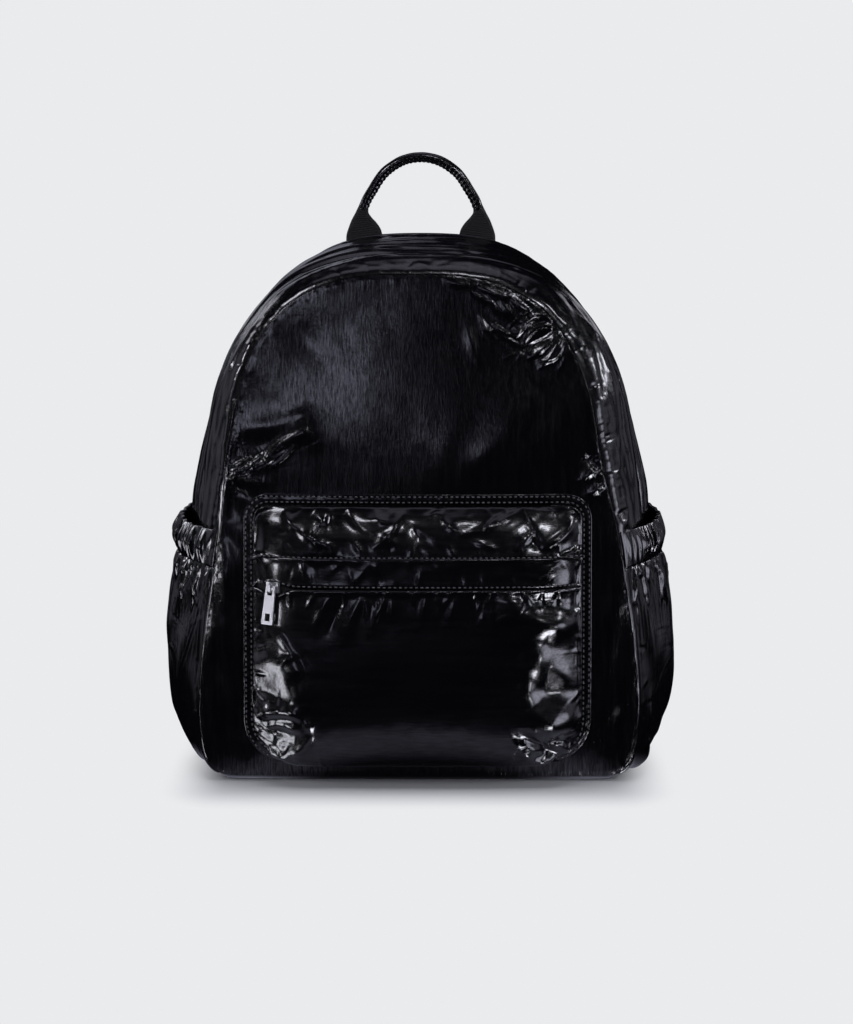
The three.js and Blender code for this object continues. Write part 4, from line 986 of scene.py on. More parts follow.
def pocket_grid(node, low, high):
    """A fine grid over one part of the pocket's face, from its lower edge to its upper edge."""
    depth = front_of(node)
    steps = max(int(round((high - low) / POCKET_STEP)), 2)
    count = int(round(2 * pocket_half((low + high) / 2) / POCKET_STEP))
    shares = np.linspace(-1, 1, count + 1)
    shares = 0.75 * shares + 0.25 * np.sin(shares * math.pi / 2)
    rows = []
    for z in np.linspace(low, high, steps + 1):
        probe = min(max(z, low + 0.15 * MM), high - 0.15 * MM)
        across = pocket_half(z) * shares
        rows.append([(pocket_mid_x + x, depth(pocket_mid_x + x * 0.996, probe), z) for x in across])
    grid = np.array(rows)
    for row in grid:
        bad = np.isnan(row[:, 1])
        if bad.any() and not bad.all():
            row[bad, 1] = np.interp(row[bad, 0], row[~bad, 0], row[~bad, 1])
    whole = [i for i in range(len(grid)) if not np.isnan(grid[i, :, 1]).any()]
    for i in range(len(grid)):
        grid[i, :, 1] = grid[min(whole, key=lambda j: abs(j - i)), :, 1]
    return grid


FACE_FOLDS = [
    (50, 116, 60, 103, 4, 2.2, 1), (60, 103, 92, 95.5, 4, 2.4, 2), (60, 110, 90, 103, 4, -2.0, 1),
    (62, 72, 92, 88, 7, 2.4, 2), (72, 69, 95, 56, 5, 2.2, -2), (68, 62, 84, 47, 5, -2.2, 2),
    (64, 46, 80, 30, 5, 2.0, -2), (84, 46, 92, 34, 4, 1.6), (57, 25, 66, 20, 1.3, 1.3, 1),
    (60, 27, 70, 21, 1.2, 1.3, 1), (64, 22, 73, 17.5, 1.2, 1.2, -1), (59, 20, 67, 16, 1.3, 1.2),
    (66, 33, 74, 27, 1.4, 1.2, 1), (70, 30, 84, 24, 1.4, 1.4, 1), (72, 31, 91, 20, 2.2, 1.8, 2),
    (80, 24, 92, 14, 1.6, 1.3, 1),
    (-85, 100, -73, 77, 1.4, 1.6, 1), (-73, 77, -79.5, 72.5, 1.4, 1.2, 1), (-66, 72, -64, 50, 3, 1.0, 1),
    (-93, 41, -80, 44, 2.2, 2.0, -1), (-80, 44, -67, 40, 2.2, 2.4, -2), (-67, 40, -63, 33, 2.0, 2.2, -1),
    (-63, 33, -66, 24, 2.2, 1.8, -1), (-66, 24, -75, 19, 2.2, 1.5, -1), (-88, 39.5, -70, 39, 2.2, -1.0, -2),
    (-88, 34.5, -78, 36.5, 2.0, 1.4, -1), (-78, 36.5, -68, 33, 2.0, 1.6, -1), (-84, 29, -72, 28, 4, -1.4, -1),
    (-90, 20, -79, 16, 2.2, 1.6, 1), (-94, 54, -82, 50, 2.2, 1.0, 1),
    (-52, 112, -60, 94, 2.2, 1.0, 1), (-34, 110, -43, 89, 2.4, 1.0, 1), (-20, 112, -28, 92, 2.4, 0.9),
    (-44, 111, -52, 92, 2.2, -0.8), (22, 112, 17, 98, 2.4, 0.8), (4, 112, 2, 101, 2, 0.6),
]
FACE_SPOTS = [(-84, 30, 12, 12, 0.012), (74, 24, 16, 8, 0.03), (74, 101, 18, 8, 0.02),
              (-40, 106, 30, 7, 0.02)]
FLAP_FOLDS = [
    (-94, 134, -86, 122, 4, -0.8), (84, 134, 70, 124, 2.4, 0.9), (-30, 134, -22, 126, 2.4, 0.4),
    (-40, 133, -12, 130, 2.2, 0.3), (5, 132, 26, 128, 2.6, 0.5),
]
BAND_FOLDS = [
    (-79, 162, -70, 150, 1.6, 1.8, 2), (-70, 150, -62, 145, 1.3, 1.4, 1), (-64, 147, -50, 141, 1.3, 1.6, 1),
    (-26, 141, -10, 158, 1.6, 1.8, 2), (-22, 147, -14, 143, 1.2, 1.1), (3, 157, 13, 161, 1.3, 1.2, 1),
    (12, 158, 24, 148, 1.3, 1.4, 1), (24, 148, 60, 162, 1.2, 1.6, 3), (47, 157, 38, 149, 1.2, 1.2, 1),
    (73, 141, 89, 153, 1.8, 2.0, 2), (64, 161, 86, 160, 1.4, 1.2, 1), (-42, 161, -30, 149, 2.4, -1.6, 1),
    (-90, 153, -80, 144, 1.5, 1.5, 1), (62, 150, 70, 140, 2.2, -1.4, 1), (-4, 152, 4, 144, 2.2, -1.2, 1),
    (32, 144, 44, 140, 1.3, 1.2), (-60, 158, -50, 152, 2, -1.2), (60, 142, 66, 148, 1.2, 1.2),
]
FACE_STREWN = [
    (86, 2, (-92, 16), (-70, 44), 30, 40, (5, 12), (0.8, 1.4), (0.3, 0.8)),
    (87, 14, (58, 16), (90, 38), 145, 25, (4, 11), (0.8, 1.4), (0.3, 0.9)),
    (83, 8, (-64, 98), (66, 111), 75, 20, (5, 16), (1.2, 2.4), (0.3, 0.7)),
]
FLAP_STREWN = [(84, 4, (-90, 122), (88, 133), 12, 25, (10, 34), (1.4, 2.4), (0.2, 0.5))]
BAND_STREWN = [(85, 7, (-90, 139), (88, 159), 55, 45, (8, 22), (0.9, 1.5), (0.5, 1.3))]
POCKET_PARTS = [
    ("pocket_face_cloth", "pocket_face", FACE_FOLDS, FACE_STREWN, FACE_SPOTS, 0.03, 9),
    ("pocket_flap_cloth", "pocket_zip_flap", FLAP_FOLDS, FLAP_STREWN, [], 0.008, 10),
    ("pocket_band_cloth", "pocket_top_band", BAND_FOLDS, BAND_STREWN, [], 0.012, 11),
]
# Flat facets at the ends of the lower face: end, height and half height of its middle, how steeply it slopes
# away from the border, how far in it reaches, and its tilt.
CHEEKS = [
    ("left", 61, 14, 0.8, 19, -0.24),
    ("left", 28, 13, 0.5, 17, 0),
    ("right", 70, 20, 0.58, 24, 0),
    ("right", 23, 9, 0.3, 25, 0),
]
FULL_FROM = 36 * MM
SAG = 15.6 * MM
SAG_FROM = 40 * MM
PULLER_Z = 105 * MM
puller_low, puller_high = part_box("zip_puller")
slider_mid = sum(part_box("pocket_zip_slider"), Vector()) / 2
pocket_lines = {}
for name, node, folds, strewn, spots, slackness, seed in POCKET_PARTS:
    low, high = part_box(node)
    wide, tall = high.x - low.x, high.z - low.z
    grid = pocket_grid(node, low.z, high.z)
    rows, columns = grid.shape[:2]
    from_slider = 1 - np.exp(-((grid[:, :, 0] - slider_mid.x) / (6.5 * MM)) ** 2)
    if node == "pocket_face":
        rise = grid[:, :, 2] - low.z
        level = grid[np.abs(rise[:, 0] - FULL_FROM).argmin(), :, 1]
        full = (1 - np.exp(-rise / (4.5 * MM))) * np.clip(1 - rise / FULL_FROM, 0, 1)
        grid[:, :, 1] += (level - grid[:, :, 1]) * full
        from_end = np.minimum(grid[:, :, 0] - grid[:, :1, 0], grid[:, -1:, 0] - grid[:, :, 0])
        sag = (1 - np.exp(-rise / (1.2 * MM))) * np.clip(1 - rise / SAG_FROM, 0, 1) ** 1.5
        grid[:, :, 2] -= SAG * sag * np.clip(from_end / (15 * MM), 0, 1) ** 0.7
        grid[:, :, 2] += 4.6 * MM * np.clip((grid[:, :, 2] - high.z) / (20 * MM) + 1, 0, 1) * from_slider
    if node == "pocket_zip_flap":
        overhang = np.clip((low.z - grid[:, :, 2]) / (8 * MM) + 1, 0, 1) * from_slider
        grid[:, :, 2] -= 3.6 * MM * overhang
        grid[:, :, 1] += 0.5 * MM * overhang
    if node == "pocket_top_band":
        overhang = np.clip((low.z - grid[:, :, 2]) / (6 * MM) + 1, 0, 1)
        grid[:, :, 2] -= 1.2 * MM * overhang
        grid[:, :, 1] -= 0.6 * MM * overhang

    # Its edges lie on the border, and it rises from them no more steeply than cloth does.
    points, faces, along, across = sheet_of(grid)
    faces = facing_front(points, faces)
    held = edges_of(along, across)
    points[held, 1] -= EDGE_LIFT
    on_border = (across == 0) | (across == 1)
    if node != "pocket_zip_flap":
        on_border |= along == (0 if node == "pocket_face" else 1)
    lying = np.array([panel_depth(x, z) - BORDER_LEVEL - 0.2 * MM for x, _, z in points[on_border]])
    lying = np.where(np.isnan(lying), points[on_border, 1], lying)
    points[on_border, 1] = np.minimum(points[on_border, 1], lying)
    lines = points.reshape(rows, columns, 3).copy()
    sides = [("left", lines[:, :1], 0), ("right", lines[:, -1:], 0)]
    if node == "pocket_top_band":
        sides.append(("top", lines[-1:], 2))
    for end, edge, way in sides:
        steepest = edge[:, :, 1] - STEEPEST[end] * np.abs(lines[:, :, way] - edge[:, :, way])
        points[:, 1] = np.maximum(points[:, 1], steepest.ravel())
    points = smoothed(points, faces, held, 20)
    if node == "pocket_face":
        ragged = 1 + 0.25 * lumps_of(points, 14 * MM, 91)
        lines = points.reshape(rows, columns, 3)
        for end, mid_z, half_high, slope, reach, tilt in CHEEKS:
            edge = np.repeat(lines[:, 0 if end == "left" else -1], columns, axis=0)
            off = np.abs(points[:, 0] - edge[:, 0])
            up = points[:, 2] - mid_z * MM
            inner_end = np.clip(2.2 - 1.4 * off / (reach * ragged * MM), 0, 1)
            facet = np.exp(-(up / (half_high * MM)) ** 4) * inner_end
            cheek = edge[:, 1] - slope * off + tilt * up
            points[:, 1] += (cheek - points[:, 1]) * facet * ~held

    # Folds all over, all but round the puller, which lies flat on the cloth.
    inward = np.minimum(np.minimum(along, 1 - along) * tall, np.minimum(across, 1 - across) * wide)
    beside = np.maximum(np.maximum(puller_low.x - points[:, 0], points[:, 0] - puller_high.x), 0)
    below = np.maximum(puller_low.z - points[:, 2], 0)
    near_puller = np.exp(-beside ** 2 / (6 * MM) ** 2 - below ** 2 / (6 * MM) ** 2)
    loose = np.clip(inward / (5 * MM), 0, 1) * (1 - near_puller)
    out = point_normals(points, faces)
    heights = fold_heights(folds + strewn_folds(strewn), points[:, 0], points[:, 2])
    for pucker_seed, run, off in [(1, across * wide, along * tall), (2, across * wide, (1 - along) * tall),
                                  (3, along * tall, across * wide), (4, along * tall, (1 - across) * wide)]:
        puckers = seam_puckers(seed * 10 + pucker_seed, run.max(), pitch=(5, 16), reach=(2, 9))
        heights += fold_heights(puckers, run, off)
    if node == "pocket_face":
        belly = np.exp(-((points[:, 2] - 30 * MM) / (22 * MM)) ** 2)
        heights += 2.5 * MM * belly * np.clip(inward / (26 * MM) - 0.2, 0, 1)
    points = points + out * (heights * loose)[:, None]
    points = points + out * (0.12 * MM * lumps_of(points, 8 * MM, seed) * loose)[:, None]

    def part_slack(middle, direction):
        """How much longer this part is cut than its place: most at its edges and in its crumpled patches."""
        level = direction[:, 0] ** 2
        edge = np.minimum(middle[:, 2] - low.z, high.z - middle[:, 2])
        ends = wide / 2 - np.abs(middle[:, 0] - (high.x + low.x) / 2)
        patchy = 1 + 0.8 * lumps_of(middle, 30 * MM, seed + 0.5)
        by_puller = ((middle[:, 0] - puller_low.x) / (12 * MM)) ** 2
        by_puller += ((middle[:, 2] - PULLER_Z) / (14 * MM)) ** 2
        at_edges = np.exp(-edge / (7 * MM)) * level + np.exp(-ends / (9 * MM)) * (1 - level)
        puckers = slackness * patchy * at_edges
        return (0.003 + puckers + spots_at(spots, middle[:, 0], middle[:, 2])) * (1 - np.exp(-by_puller))

    points = settled(points, faces, held, part_slack, push=0.004 * MM, rounds=160, reach=3.5 * MM)
    sewn(name, node, points, faces, nylon_level, cut_of(grid), thick=POCKET_THICK)
    pocket_lines[node] = points.reshape(rows, columns, 3)

# Zips: black nylon coil on a woven tape, sewn under the edges of the cloth. Each is a strip of tape with
# the coil's turns as small bars across the middle.
COIL_PITCH = 1.5 * MM
COIL_BAR = (3 * MM, 1.1 * MM, 1 * MM)
TAPE_THICK = 1 * MM


def woven_tape(name, colour, rib):
    """Woven polyester tape or webbing: matt, with ribs of yarn a rib's width apart."""
    material, tree = new_material(name)
    place = add_node(tree, "TexCoord").outputs["Object"]
    weave = add_node(tree, "TexVoronoi", {"Vector": place, "Scale": 1 / rib})
    fuzz = add_node(tree, "TexNoise", {"Vector": place, "Scale": 1 / (0.8 * MM), "Detail": 2.0})
    tint = add_node(tree, "Mix", {"Factor": fuzz.outputs["Fac"], "A": linear(colour), "B": linear("#111115")},
                    data_type="RGBA")
    ribs = add_node(tree, "Bump", {"Height": weave.outputs["Distance"], "Distance": 0.12 * MM,
                                   "Strength": 0.8})
    yarn = add_node(tree, "BsdfPrincipled", {
        "Base Color": tint.outputs["Result"], "Roughness": 0.62, "IOR": 1.5, "Normal": ribs.outputs["Normal"],
        "Sheen Weight": 0.04, "Sheen Roughness": 0.4})
    add_node(tree, "OutputMaterial", {"Surface": yarn.outputs["BSDF"]})
    return material


def moulded_black(name, colour, roughness):
    """Nylon or acetal straight from the mould: even, faintly mottled, half gloss."""
    material, tree = new_material(name)
    place = add_node(tree, "TexCoord").outputs["Object"]
    mottle = add_node(tree, "TexNoise", {"Vector": place, "Scale": 1 / (1.5 * MM), "Detail": 3.0})
    gloss = add_node(tree, "MapRange", {"Value": mottle.outputs["Fac"], "To Min": roughness - 0.08,
                                        "To Max": roughness + 0.08})
    skin = add_node(tree, "Bump", {"Height": mottle.outputs["Fac"], "Distance": 0.02 * MM, "Strength": 0.5})
    body = add_node(tree, "BsdfPrincipled", {
        "Base Color": linear(colour), "Roughness": gloss.outputs["Result"], "IOR": 1.48,
        "Normal": skin.outputs["Normal"]})
    add_node(tree, "OutputMaterial", {"Surface": body.outputs["BSDF"]})
    return material


def small_bars(name, places, ways, outs, size, material):
    """Many small rounded bars as one piece, such as stitches or a coil's turns: each lies at its place, along
    its way, and stands out of the surface. size is their length, width and height."""
    length, width, height = size
    ends = [(-0.5, 0.35), (-0.32, 1), (0.32, 1), (0.5, 0.35)]
    around = np.radians(np.arange(0, 360, 60))
    points, faces = [], []
    for place, way, out in zip(places, ways, outs):
        side = np.cross(way, out)
        first = len(points)
        for share, fat in ends:
            for turn in around:
                points.append(place + way * (share * length) + side * (math.cos(turn) * fat * width / 2)
                              + out * (math.sin(turn) * fat * height / 2))
        for ring in range(len(ends) - 1):
            for k in range(6):
                a, b = first + ring * 6 + k, first + ring * 6 + (k + 1) % 6
                faces.append((a, a + 6, b + 6, b))
        faces.append(tuple(first + k for k in range(6)))
        faces.append(tuple(first + 18 + k for k in reversed(range(6))))
    piece = new_piece(name, points, faces, material)
    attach(piece, "bag")
    return piece


def along_line(line, outs, pitch):
    """Even places along a line on a surface, with the way on and the way out at each."""
    places = evenly(line, pitch)
    ways = np.gradient(places, axis=0)
    ways /= np.linalg.norm(ways, axis=1)[:, None]
    share = np.linspace(0, 1, len(line))
    at = np.linspace(0, 1, len(places))
    out = np.stack([np.interp(at, share, outs[:, k]) for k in range(3)], 1)
    out -= ways * (out * ways).sum(1)[:, None]
    return places, ways, out / np.linalg.norm(out, axis=1)[:, None]


zip_tape = woven_tape("woven zip tape", "#0b0b0d", 0.5 * MM)
zip_coil = moulded_black("nylon coil", "#0c0c0e", 0.35)
for node, across_way in [("main_zip", (0, 1, 0)), ("pocket_zip", (0, 0, 1))]:
    grid = fine(turned(cloth_rows(node), across_way), 4 * MM)
    points, faces = sheet_of(grid)[:2]
    if node == "pocket_zip":
        faces = facing_front(points, faces)
    sewn(node + "_tape", node, points, faces, zip_tape, cut_of(grid), thick=TAPE_THICK)
    middle = grid.shape[1] // 2
    outs = point_normals(points, faces).reshape(grid.shape)[:, middle]
    places, ways, outs = along_line(grid[:, middle], outs, COIL_PITCH)
    small_bars(node + "_coil", places + outs * 0.1 * MM, np.cross(ways, outs), outs, COIL_BAR, zip_coil)

# Zip sliders and puller: die-cast zinc, nickel plated and tumbled satin, so pale with soft reflections. They
# are the frame's own pieces, with their edges broken.
METAL_EDGE = 0.22 * MM
nickel, tree = new_material("satin nickel plate")
place = add_node(tree, "TexCoord").outputs["Object"]
tumble = add_node(tree, "TexNoise", {"Vector": place, "Scale": 1 / (0.9 * MM), "Detail": 4.0,
                                     "Roughness": 0.6})
polish = add_node(tree, "MapRange", {"Value": tumble.outputs["Fac"], "From Min": 0.3, "From Max": 0.7,
                                     "To Min": 0.38, "To Max": 0.5})
dents = add_node(tree, "Bump", {"Height": tumble.outputs["Fac"], "Distance": 0.01 * MM, "Strength": 0.6})
plate = add_node(tree, "BsdfPrincipled", {
    "Base Color": linear("#dcdcde"), "Metallic": 1.0, "Roughness": polish.outputs["Result"],
    "Normal": dents.outputs["Normal"]})
add_node(tree, "OutputMaterial", {"Surface": plate.outputs["BSDF"]})


def finish_solid(node, material, edge):
    """Gives one of the frame's own pieces its material, and rounds its edges."""
    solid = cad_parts[node]
    solid.data.materials.clear()
    solid.data.materials.append(material)
    weld = solid.modifiers.new("weld", "WELD")
    weld.merge_threshold = 1e-6
    bevel = solid.modifiers.new("broken edges", "BEVEL")
    bevel.width = edge
    bevel.segments = 3
    bevel.limit_method = "ANGLE"


for node in ("zip_puller", "pocket_zip_slider", "main_zip_slider"):
    finish_solid(node, nickel, METAL_EDGE)

# Stitches: bonded black polyester thread, a stitch every 3 mm: two rows round the pocket's border, and one
# along the lower edge of the strip over the zip and of the band. The thread's colour is painted grey in
# patches as glints of light, and stays black in the rest.
STITCH_PITCH = 3.1 * MM
STITCH = (1.7 * MM, 0.8 * MM, 0.65 * MM)
STITCHED_ROWS = (2, 5)
thread, tree = new_material("bonded polyester thread")
place = add_node(tree, "TexCoord").outputs["Object"]
# Painted glints: patches about 6 mm across where the black thread's colour is made grey.
lie = add_node(tree, "TexNoise", {"Vector": place, "Scale": 1 / (6 * MM), "Detail": 2.0})
tint = add_node(tree, "Mix", {"Factor": lie.outputs["Fac"], "A": linear("#050507"), "B": linear("#66666e")},
                data_type="RGBA")
twist = add_node(tree, "TexNoise", {"Vector": place, "Scale": 1 / (0.4 * MM)})
ply = add_node(tree, "Bump", {"Height": twist.outputs["Fac"], "Distance": 0.05 * MM, "Strength": 0.6})
fibre = add_node(tree, "BsdfPrincipled", {
    "Base Color": tint.outputs["Result"], "Roughness": 0.35, "IOR": 1.54, "Normal": ply.outputs["Normal"]})
add_node(tree, "OutputMaterial", {"Surface": fibre.outputs["BSDF"]})

rows = [np.vstack([border[i], border[i][:1]]) for i in STITCHED_ROWS]
rows += [pocket_lines[node][1, 2:-2] for node in ("pocket_zip_flap", "pocket_top_band")]
stitched = [along_line(row, np.repeat([[0.0, -1.0, 0.0]], len(row), 0), STITCH_PITCH) for row in rows]
places, ways, outs = [np.vstack(part) for part in zip(*stitched)]
small_bars("pocket_stitches", places + outs * 0.4 * MM, ways, outs, STITCH, thread)

# Side pockets: a loose sheet of nylon on each side, sewn in at the front, back and foot, and drawn in at the
# mouth by elastic in a tunnel of cloth, which gathers the band and flutes the pocket below it.
SIDE_STEP = 1.8 * MM
SIDE_SPOTS = [(-9, 100, 30, 22, 0.025), (-20, 60, 20, 20, 0.0125), (-30, 25, 20, 14, 0.0125)]
MOUTH_Z = 130 * MM


def side_rows(node, step):
    """The outer face of a piece on the bag's side, as a fine grid from its foot up."""
    grid = turned(cloth_rows(node), (0, 1, 0))
    if grid[0, :, 2].mean() > grid[-1, :, 2].mean():
        grid = grid[::-1]
    return fine(grid, step)


for side, seed in (("left", 12), ("right", 13)):
    node = "side_pocket_" + side
    grid = side_rows(node, SIDE_STEP)
    foot = np.exp(-((grid[:, :, 2] - 19 * MM) / (9 * MM)) ** 2)
    grid[:, :, 0] += np.sign(grid[:, :, 0]) * 1.3 * MM * foot
    grid = drawn_to_seam(grid, 0.4 * MM)
    peak = np.abs(grid[:, :, 0]).mean(0).argmax()
    for row in grid:
        out, back = np.abs(row[:, 0]), row[:, 1]
        share = np.clip((back - back[0]) / (back[peak] - back[0] + 1e-9), 0, 1)
        straight = out[0] + (out[peak] - out[0]) * share
        tauter = np.where(np.arange(len(row)) < peak, np.minimum(straight, out), out)
        row[:, 0] += np.sign(row[:, 0]) * 0.95 * (tauter - out)
    points, faces, along, across = sheet_of(grid)
    held = edges_of(along, across) | (points[:, 2] < 3 * MM)
    inward = np.minimum(np.minimum(along, 1 - along) * 130, np.minimum(across, 1 - across) * 95)
    loose = np.clip(inward / 6, 0, 1) * ~held
    width, length = cut_of(grid)
    strewn = random_folds(seed + 80, 18, (4, 4), (width / MM - 4, length / MM - 4), 100, 24, (24, 70), (3, 7),
                          (1.2, 2.6))
    heights = 0.25 * MM * lumps_of(points, 14 * MM, seed)
    heights += fold_heights(strewn, across * width, along * length)
    flutes = seam_puckers(seed + 90, width, (4, 9), (6, 22), (1.3, 2.2), (1.2, 2.4), lean=0.35)
    heights += fold_heights(flutes, across * width, (1 - along) * length)
    puckers = seam_puckers(seed + 95, length, (5, 14), (4, 14), height=(0.05, 0.3))
    heights += fold_heights(puckers, along * length, across * width)
    points = points + point_normals(points, faces) * (heights * loose)[:, None]

    def side_slack(middle, direction):
        """How much longer the pocket is cut than its place: most across it, under the gathered mouth."""
        level = 1 - direction[:, 2] ** 2
        drop = np.maximum(MOUTH_Z - middle[:, 2], 0)
        patchy = 1 + 0.8 * lumps_of(middle, 26 * MM, seed + 0.5)
        gathered = 0.13 * level * patchy * np.exp(-drop / (26 * MM))
        return 0.012 + gathered + spots_at(SIDE_SPOTS, middle[:, 1], middle[:, 2])

    points = settled(points, faces, held, side_slack, push=0.003 * MM, rounds=160, reach=3 * MM)
    points[:, 2] = np.maximum(points[:, 2], 0.6 * MM)
    grid = tucked(points.reshape(grid.shape), faces)
    points, faces = sheet_of(grid)[:2]
    sewn(node + "_cloth", node, points, faces, nylon_upright, cut_of(grid), thick=POCKET_THICK)

    node = "elastic_band_" + side
    grid = drawn_to_seam(side_rows(node, 0.9 * MM), 1.2 * MM)
    points, faces, along, across = sheet_of(grid)
    width, length = cut_of(grid)
    gathers = seam_puckers(seed + 30, width, (2.6, 4.6), (20, 28), (0.7, 1.2), (1.2, 2.3), lean=0.06)
    gathers = [(fold[0], -2, *fold[2:]) for fold in gathers]
    heights = fold_heights(gathers, across * width, along * length)
    heights += 1.6 * MM * np.sin(math.pi * along) ** 0.6 - 1 * MM
    ends = np.clip(np.minimum(across, 1 - across) / 0.04, 0, 1)
    drawn_in = ends * (0.4 + 0.6 * np.sin(math.pi * along))
    points = points + point_normals(points, faces) * (heights * drawn_in)[:, None]
    sewn(node + "_cloth", node, points, faces, nylon_upright, cut_of(grid), thick=POCKET_THICK)

# Carrying handle: a strip of nylon rolled round a cord and stitched, between two feet of ribbed webbing that
# spread flat where they are sewn to the back. The grip's path is across and up, in millimetres; the feet's
# has half the width and half the thickness as well.
HANDLE_Y = 52.48 * MM
GRIP_RADIUS = 3.2 * MM
GRIP_STEP = 0.6 * MM
GATHER_PITCH = 2.8 * MM
GRIP_PATH = [(35.4, 331.4), (33, 337.5), (28.8, 344.5), (22.6, 353.5), (12, 360.9), (0, 363.3)]
FOOT_PATH = [(34.4, 300.5, 11.2, 1.2), (34.4, 312.5, 11.2, 1.2), (34.9, 318.5, 10.4, 1.3),
             (35.7, 324.5, 7.2, 1.9), (35.7, 329.6, 4, 2.5), (34.6, 334, 2.9, 2.7)]
FOOT_STEP = 0.3 * MM
RIB_PITCH = 1.3 * MM


def swept(path, half, thick, sides, power=2.0):
    """Rings of points along a path, and the ways across it and through it at each: an oval, or a rounded
    oblong where the power is above 2, half wide in the plane that faces the back and thick through it."""
    way = np.gradient(path, axis=0)
    way /= np.linalg.norm(way, axis=1)[:, None]
    across = np.cross(way, (0, 1, 0))
    across /= np.linalg.norm(across, axis=1)[:, None]
    through = np.cross(across, way)
    turn = np.arange(sides) * 2 * math.pi / sides
    wide = np.sign(np.cos(turn)) * np.abs(np.cos(turn)) ** (2 / power)
    deep = np.sign(np.sin(turn)) * np.abs(np.sin(turn)) ** (2 / power)
    rings = (path[:, None] + across[:, None] * (wide[None, :, None] * np.reshape(half, (-1, 1, 1)))
             + through[:, None] * (deep[None, :, None] * np.reshape(thick, (-1, 1, 1))))
    return rings, across, through


def closed_bar(rings):
    """Points and faces of a closed bar through rings of points, with its ends filled."""
    count, sides = rings.shape[:2]
    faces = [tuple(face) for face in ring_faces(count, sides)]
    points = np.vstack([rings.reshape(-1, 3), rings[0].mean(0), rings[-1].mean(0)])
    last = (count - 1) * sides
    for k in range(sides):
        after = (k + 1) % sides
        faces.append((k, after, count * sides))
        faces.append((last + k, count * sides + 1, last + after))
    return points, faces


def smooth_path(points, step):
    """A smooth line in even steps through a few points."""
    line = np.array(points, float)
    for _ in range(5):
        line = doubled(line)
    return evenly(line, step)


half_grip = [(x * MM, HANDLE_Y, z * MM) for x, z in GRIP_PATH]
grip_path = smooth_path(half_grip + [(-x, y, z) for x, y, z in half_grip[-2::-1]], GRIP_STEP)
rings = swept(grip_path, GRIP_RADIUS, GRIP_RADIUS, 32)[0]
spoke = (rings - grip_path[:, None]) / GRIP_RADIUS
to_middle = np.array([0, HANDLE_Y, 330 * MM]) - grip_path
to_middle /= np.linalg.norm(to_middle, axis=1)[:, None]
inner_side = np.clip((spoke * to_middle[:, None]).sum(2) + 0.3, 0, 1)
phase = np.arange(len(grip_path)) * GRIP_STEP / GATHER_PITCH + 0.6 * lumps_of(grip_path, 9 * MM, 22)
gathers = np.sin(2 * math.pi * (phase[:, None] + 0.5 * spoke[:, :, 1]))
lumps = lumps_of(rings.reshape(-1, 3), 6 * MM, 21).reshape(rings.shape[:2])
rings = rings + spoke * (0.24 * MM * gathers * inner_side + 0.14 * MM * lumps - 0.1 * MM)[:, :, None]
grip = new_piece("handle_grip_cloth", *closed_bar(rings), nylon_upright)
stand_for(grip, "handle_grip")

webbing = woven_tape("polyester webbing", "#0a0a0d", 0.7 * MM)
foot_table = np.array(FOOT_PATH) * MM
for _ in range(4):
    foot_table = doubled(foot_table)
foot_run = np.concatenate([[0], np.cumsum(np.hypot(np.diff(foot_table[:, 0]), np.diff(foot_table[:, 1])))])
foot_at = np.arange(0, foot_run[-1], FOOT_STEP)
foot_x, foot_z, foot_half, foot_thick = [np.interp(foot_at, foot_run, column) for column in foot_table.T]
for side, sign in (("right", 1), ("left", -1)):
    path = np.stack([sign * foot_x, np.full(len(foot_x), HANDLE_Y), foot_z], 1)
    rings, across, through = swept(path, foot_half, foot_thick, 96, 3.5)
    aside = ((rings - path[:, None]) * across[:, None]).sum(2) / foot_half[:, None]
    front = np.sign(((rings - path[:, None]) * through[:, None]).sum(2))
    ribs = 0.1 * MM * np.cos(foot_at / RIB_PITCH * 2 * math.pi)[:, None] * front * (1 - np.abs(aside) ** 4)
    rings = rings + through[:, None] * ribs[:, :, None]
    foot = new_piece("handle_foot_" + side + "_webbing", *closed_bar(rings), webbing)
    stand_for(foot, "handle_foot_" + side)

# Back panel: a thin pad of foam between two layers of nylon, bound into the back seam and stitched down in a
# channel round its edge. A layer is how far in from the edge it lies and how far it stands out, in
# millimetres.
PAD_LAYERS = [(0, -3.5), (0, -1.2), (0.8, -0.3), (3, 0), (5, -0.35), (7, 0.1), (14, 0.3), (30, 0.35)]
PAD_MIDDLE = np.array([0, 0.155])
nylon_back = coated_nylon("nylon, matt side", "z", 0.15)
back_y = max(v.co.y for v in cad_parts["back_panel"].data.vertices)
back_seam = outline_of("back_panel")[:, [0, 2]]
count = len(back_seam)
back_points = []
for inset, lift in PAD_LAYERS:
    back_points += [(x, back_y + lift * MM, z) for x, z in further_in(back_seam, inset * MM, PAD_MIDDLE)]
back_faces = [tuple(face) for face in np.roll(ring_faces(len(PAD_LAYERS), count)[:, ::-1], 1, axis=1)]
back_faces.append(tuple((len(PAD_LAYERS) - 1) * count + i for i in range(count)))
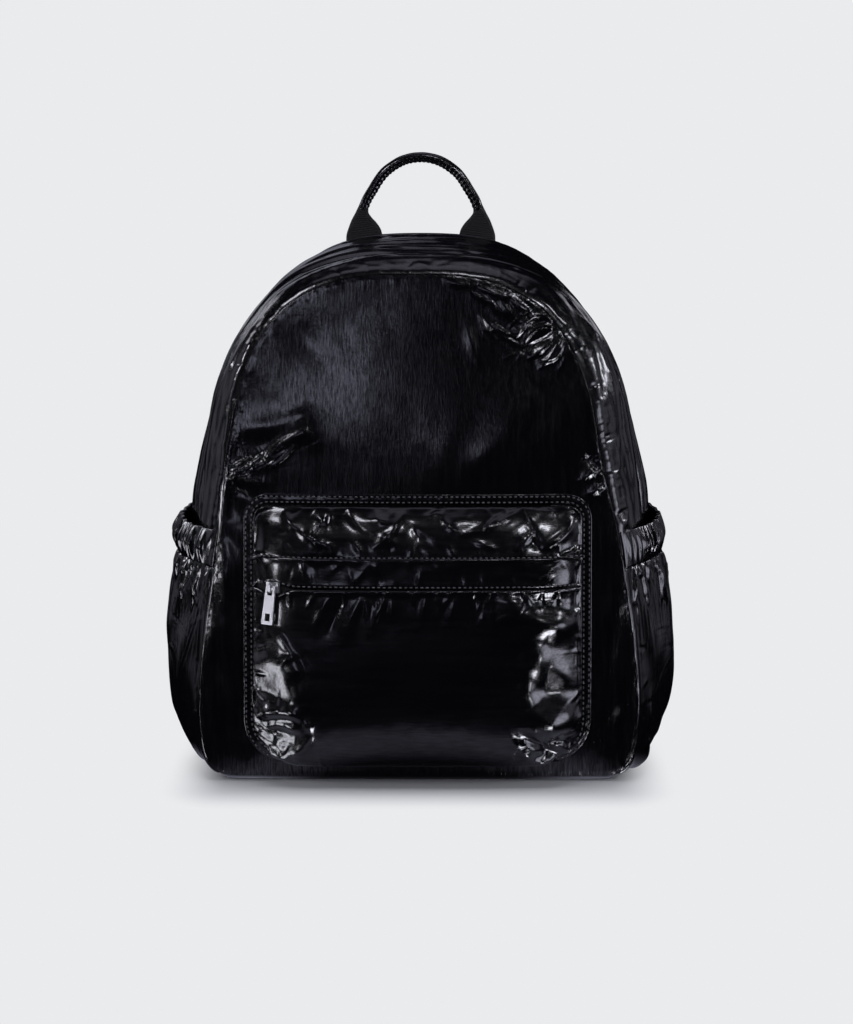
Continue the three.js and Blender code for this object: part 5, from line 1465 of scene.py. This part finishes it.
back_faces.append(tuple(reversed(range(count))))
back_pad = new_piece("back_panel_pad", back_points, back_faces, nylon_back)
stand_for(back_pad, "back_panel")

# Shoulder straps: padded nylon above, tapering into 20 mm webbing below, joined by a moulded adjuster. Each
# is sewn into the back under the handle and at the lower corner. The path is across, behind the back and up,
# in millimetres.
STRAP_PATH = [(33, 4.6, 297.5), (37, 11, 267.5), (47, 24, 219.5), (60, 31, 169.5), (73, 30, 122.5),
              (86, 22, 79.5), (99, 11, 45.5), (109, 1.4, 19.5)]
STRAP_END = 0.66
STRAP_HALF = 23 * MM
STRAP_NARROWS = 11.5 * MM
STRAP_THICK = 4 * MM
STRAP_THINS = 2.4 * MM
WEBBING_FROM = 0.735
WEBBING_HALF = 10 * MM
WEBBING_THICK = 0.8 * MM
ADJUSTER_EDGE = 0.7 * MM
adjuster_black = moulded_black("moulded acetal", "#0d0d0f", 0.38)
for side, sign in (("right", 1), ("left", -1)):
    line = smooth_path([(sign * x * MM, back_y + off * MM, z * MM) for x, off, z in STRAP_PATH], 2 * MM)
    padded = line[:int(len(line) * STRAP_END)]
    taper = np.clip((np.linspace(0, 1, len(padded)) - 0.8) / 0.2, 0, 1)
    taper = taper * taper * (3 - 2 * taper)
    rings = swept(padded, STRAP_HALF - STRAP_NARROWS * taper, STRAP_THICK - STRAP_THINS * taper, 48, 3.5)[0]
    puff = 0.35 * MM * lumps_of(rings.reshape(-1, 3), 12 * MM, 31 + sign).reshape(rings.shape[:2])
    rings = rings + (rings - padded[:, None]) * (puff / (20 * MM))[:, :, None]
    strap = new_piece("shoulder_strap_" + side + "_pad", *closed_bar(rings), nylon_upright)
    stand_for(strap, "shoulder_strap_" + side)
    rings = swept(line[int(len(line) * WEBBING_FROM):], WEBBING_HALF, WEBBING_THICK, 64, 5)[0]
    tape = new_piece("strap_webbing_" + side + "_tape", *closed_bar(rings), webbing)
    stand_for(tape, "strap_webbing_" + side)
    finish_solid("strap_adjuster_" + side, adjuster_black, ADJUSTER_EDGE)
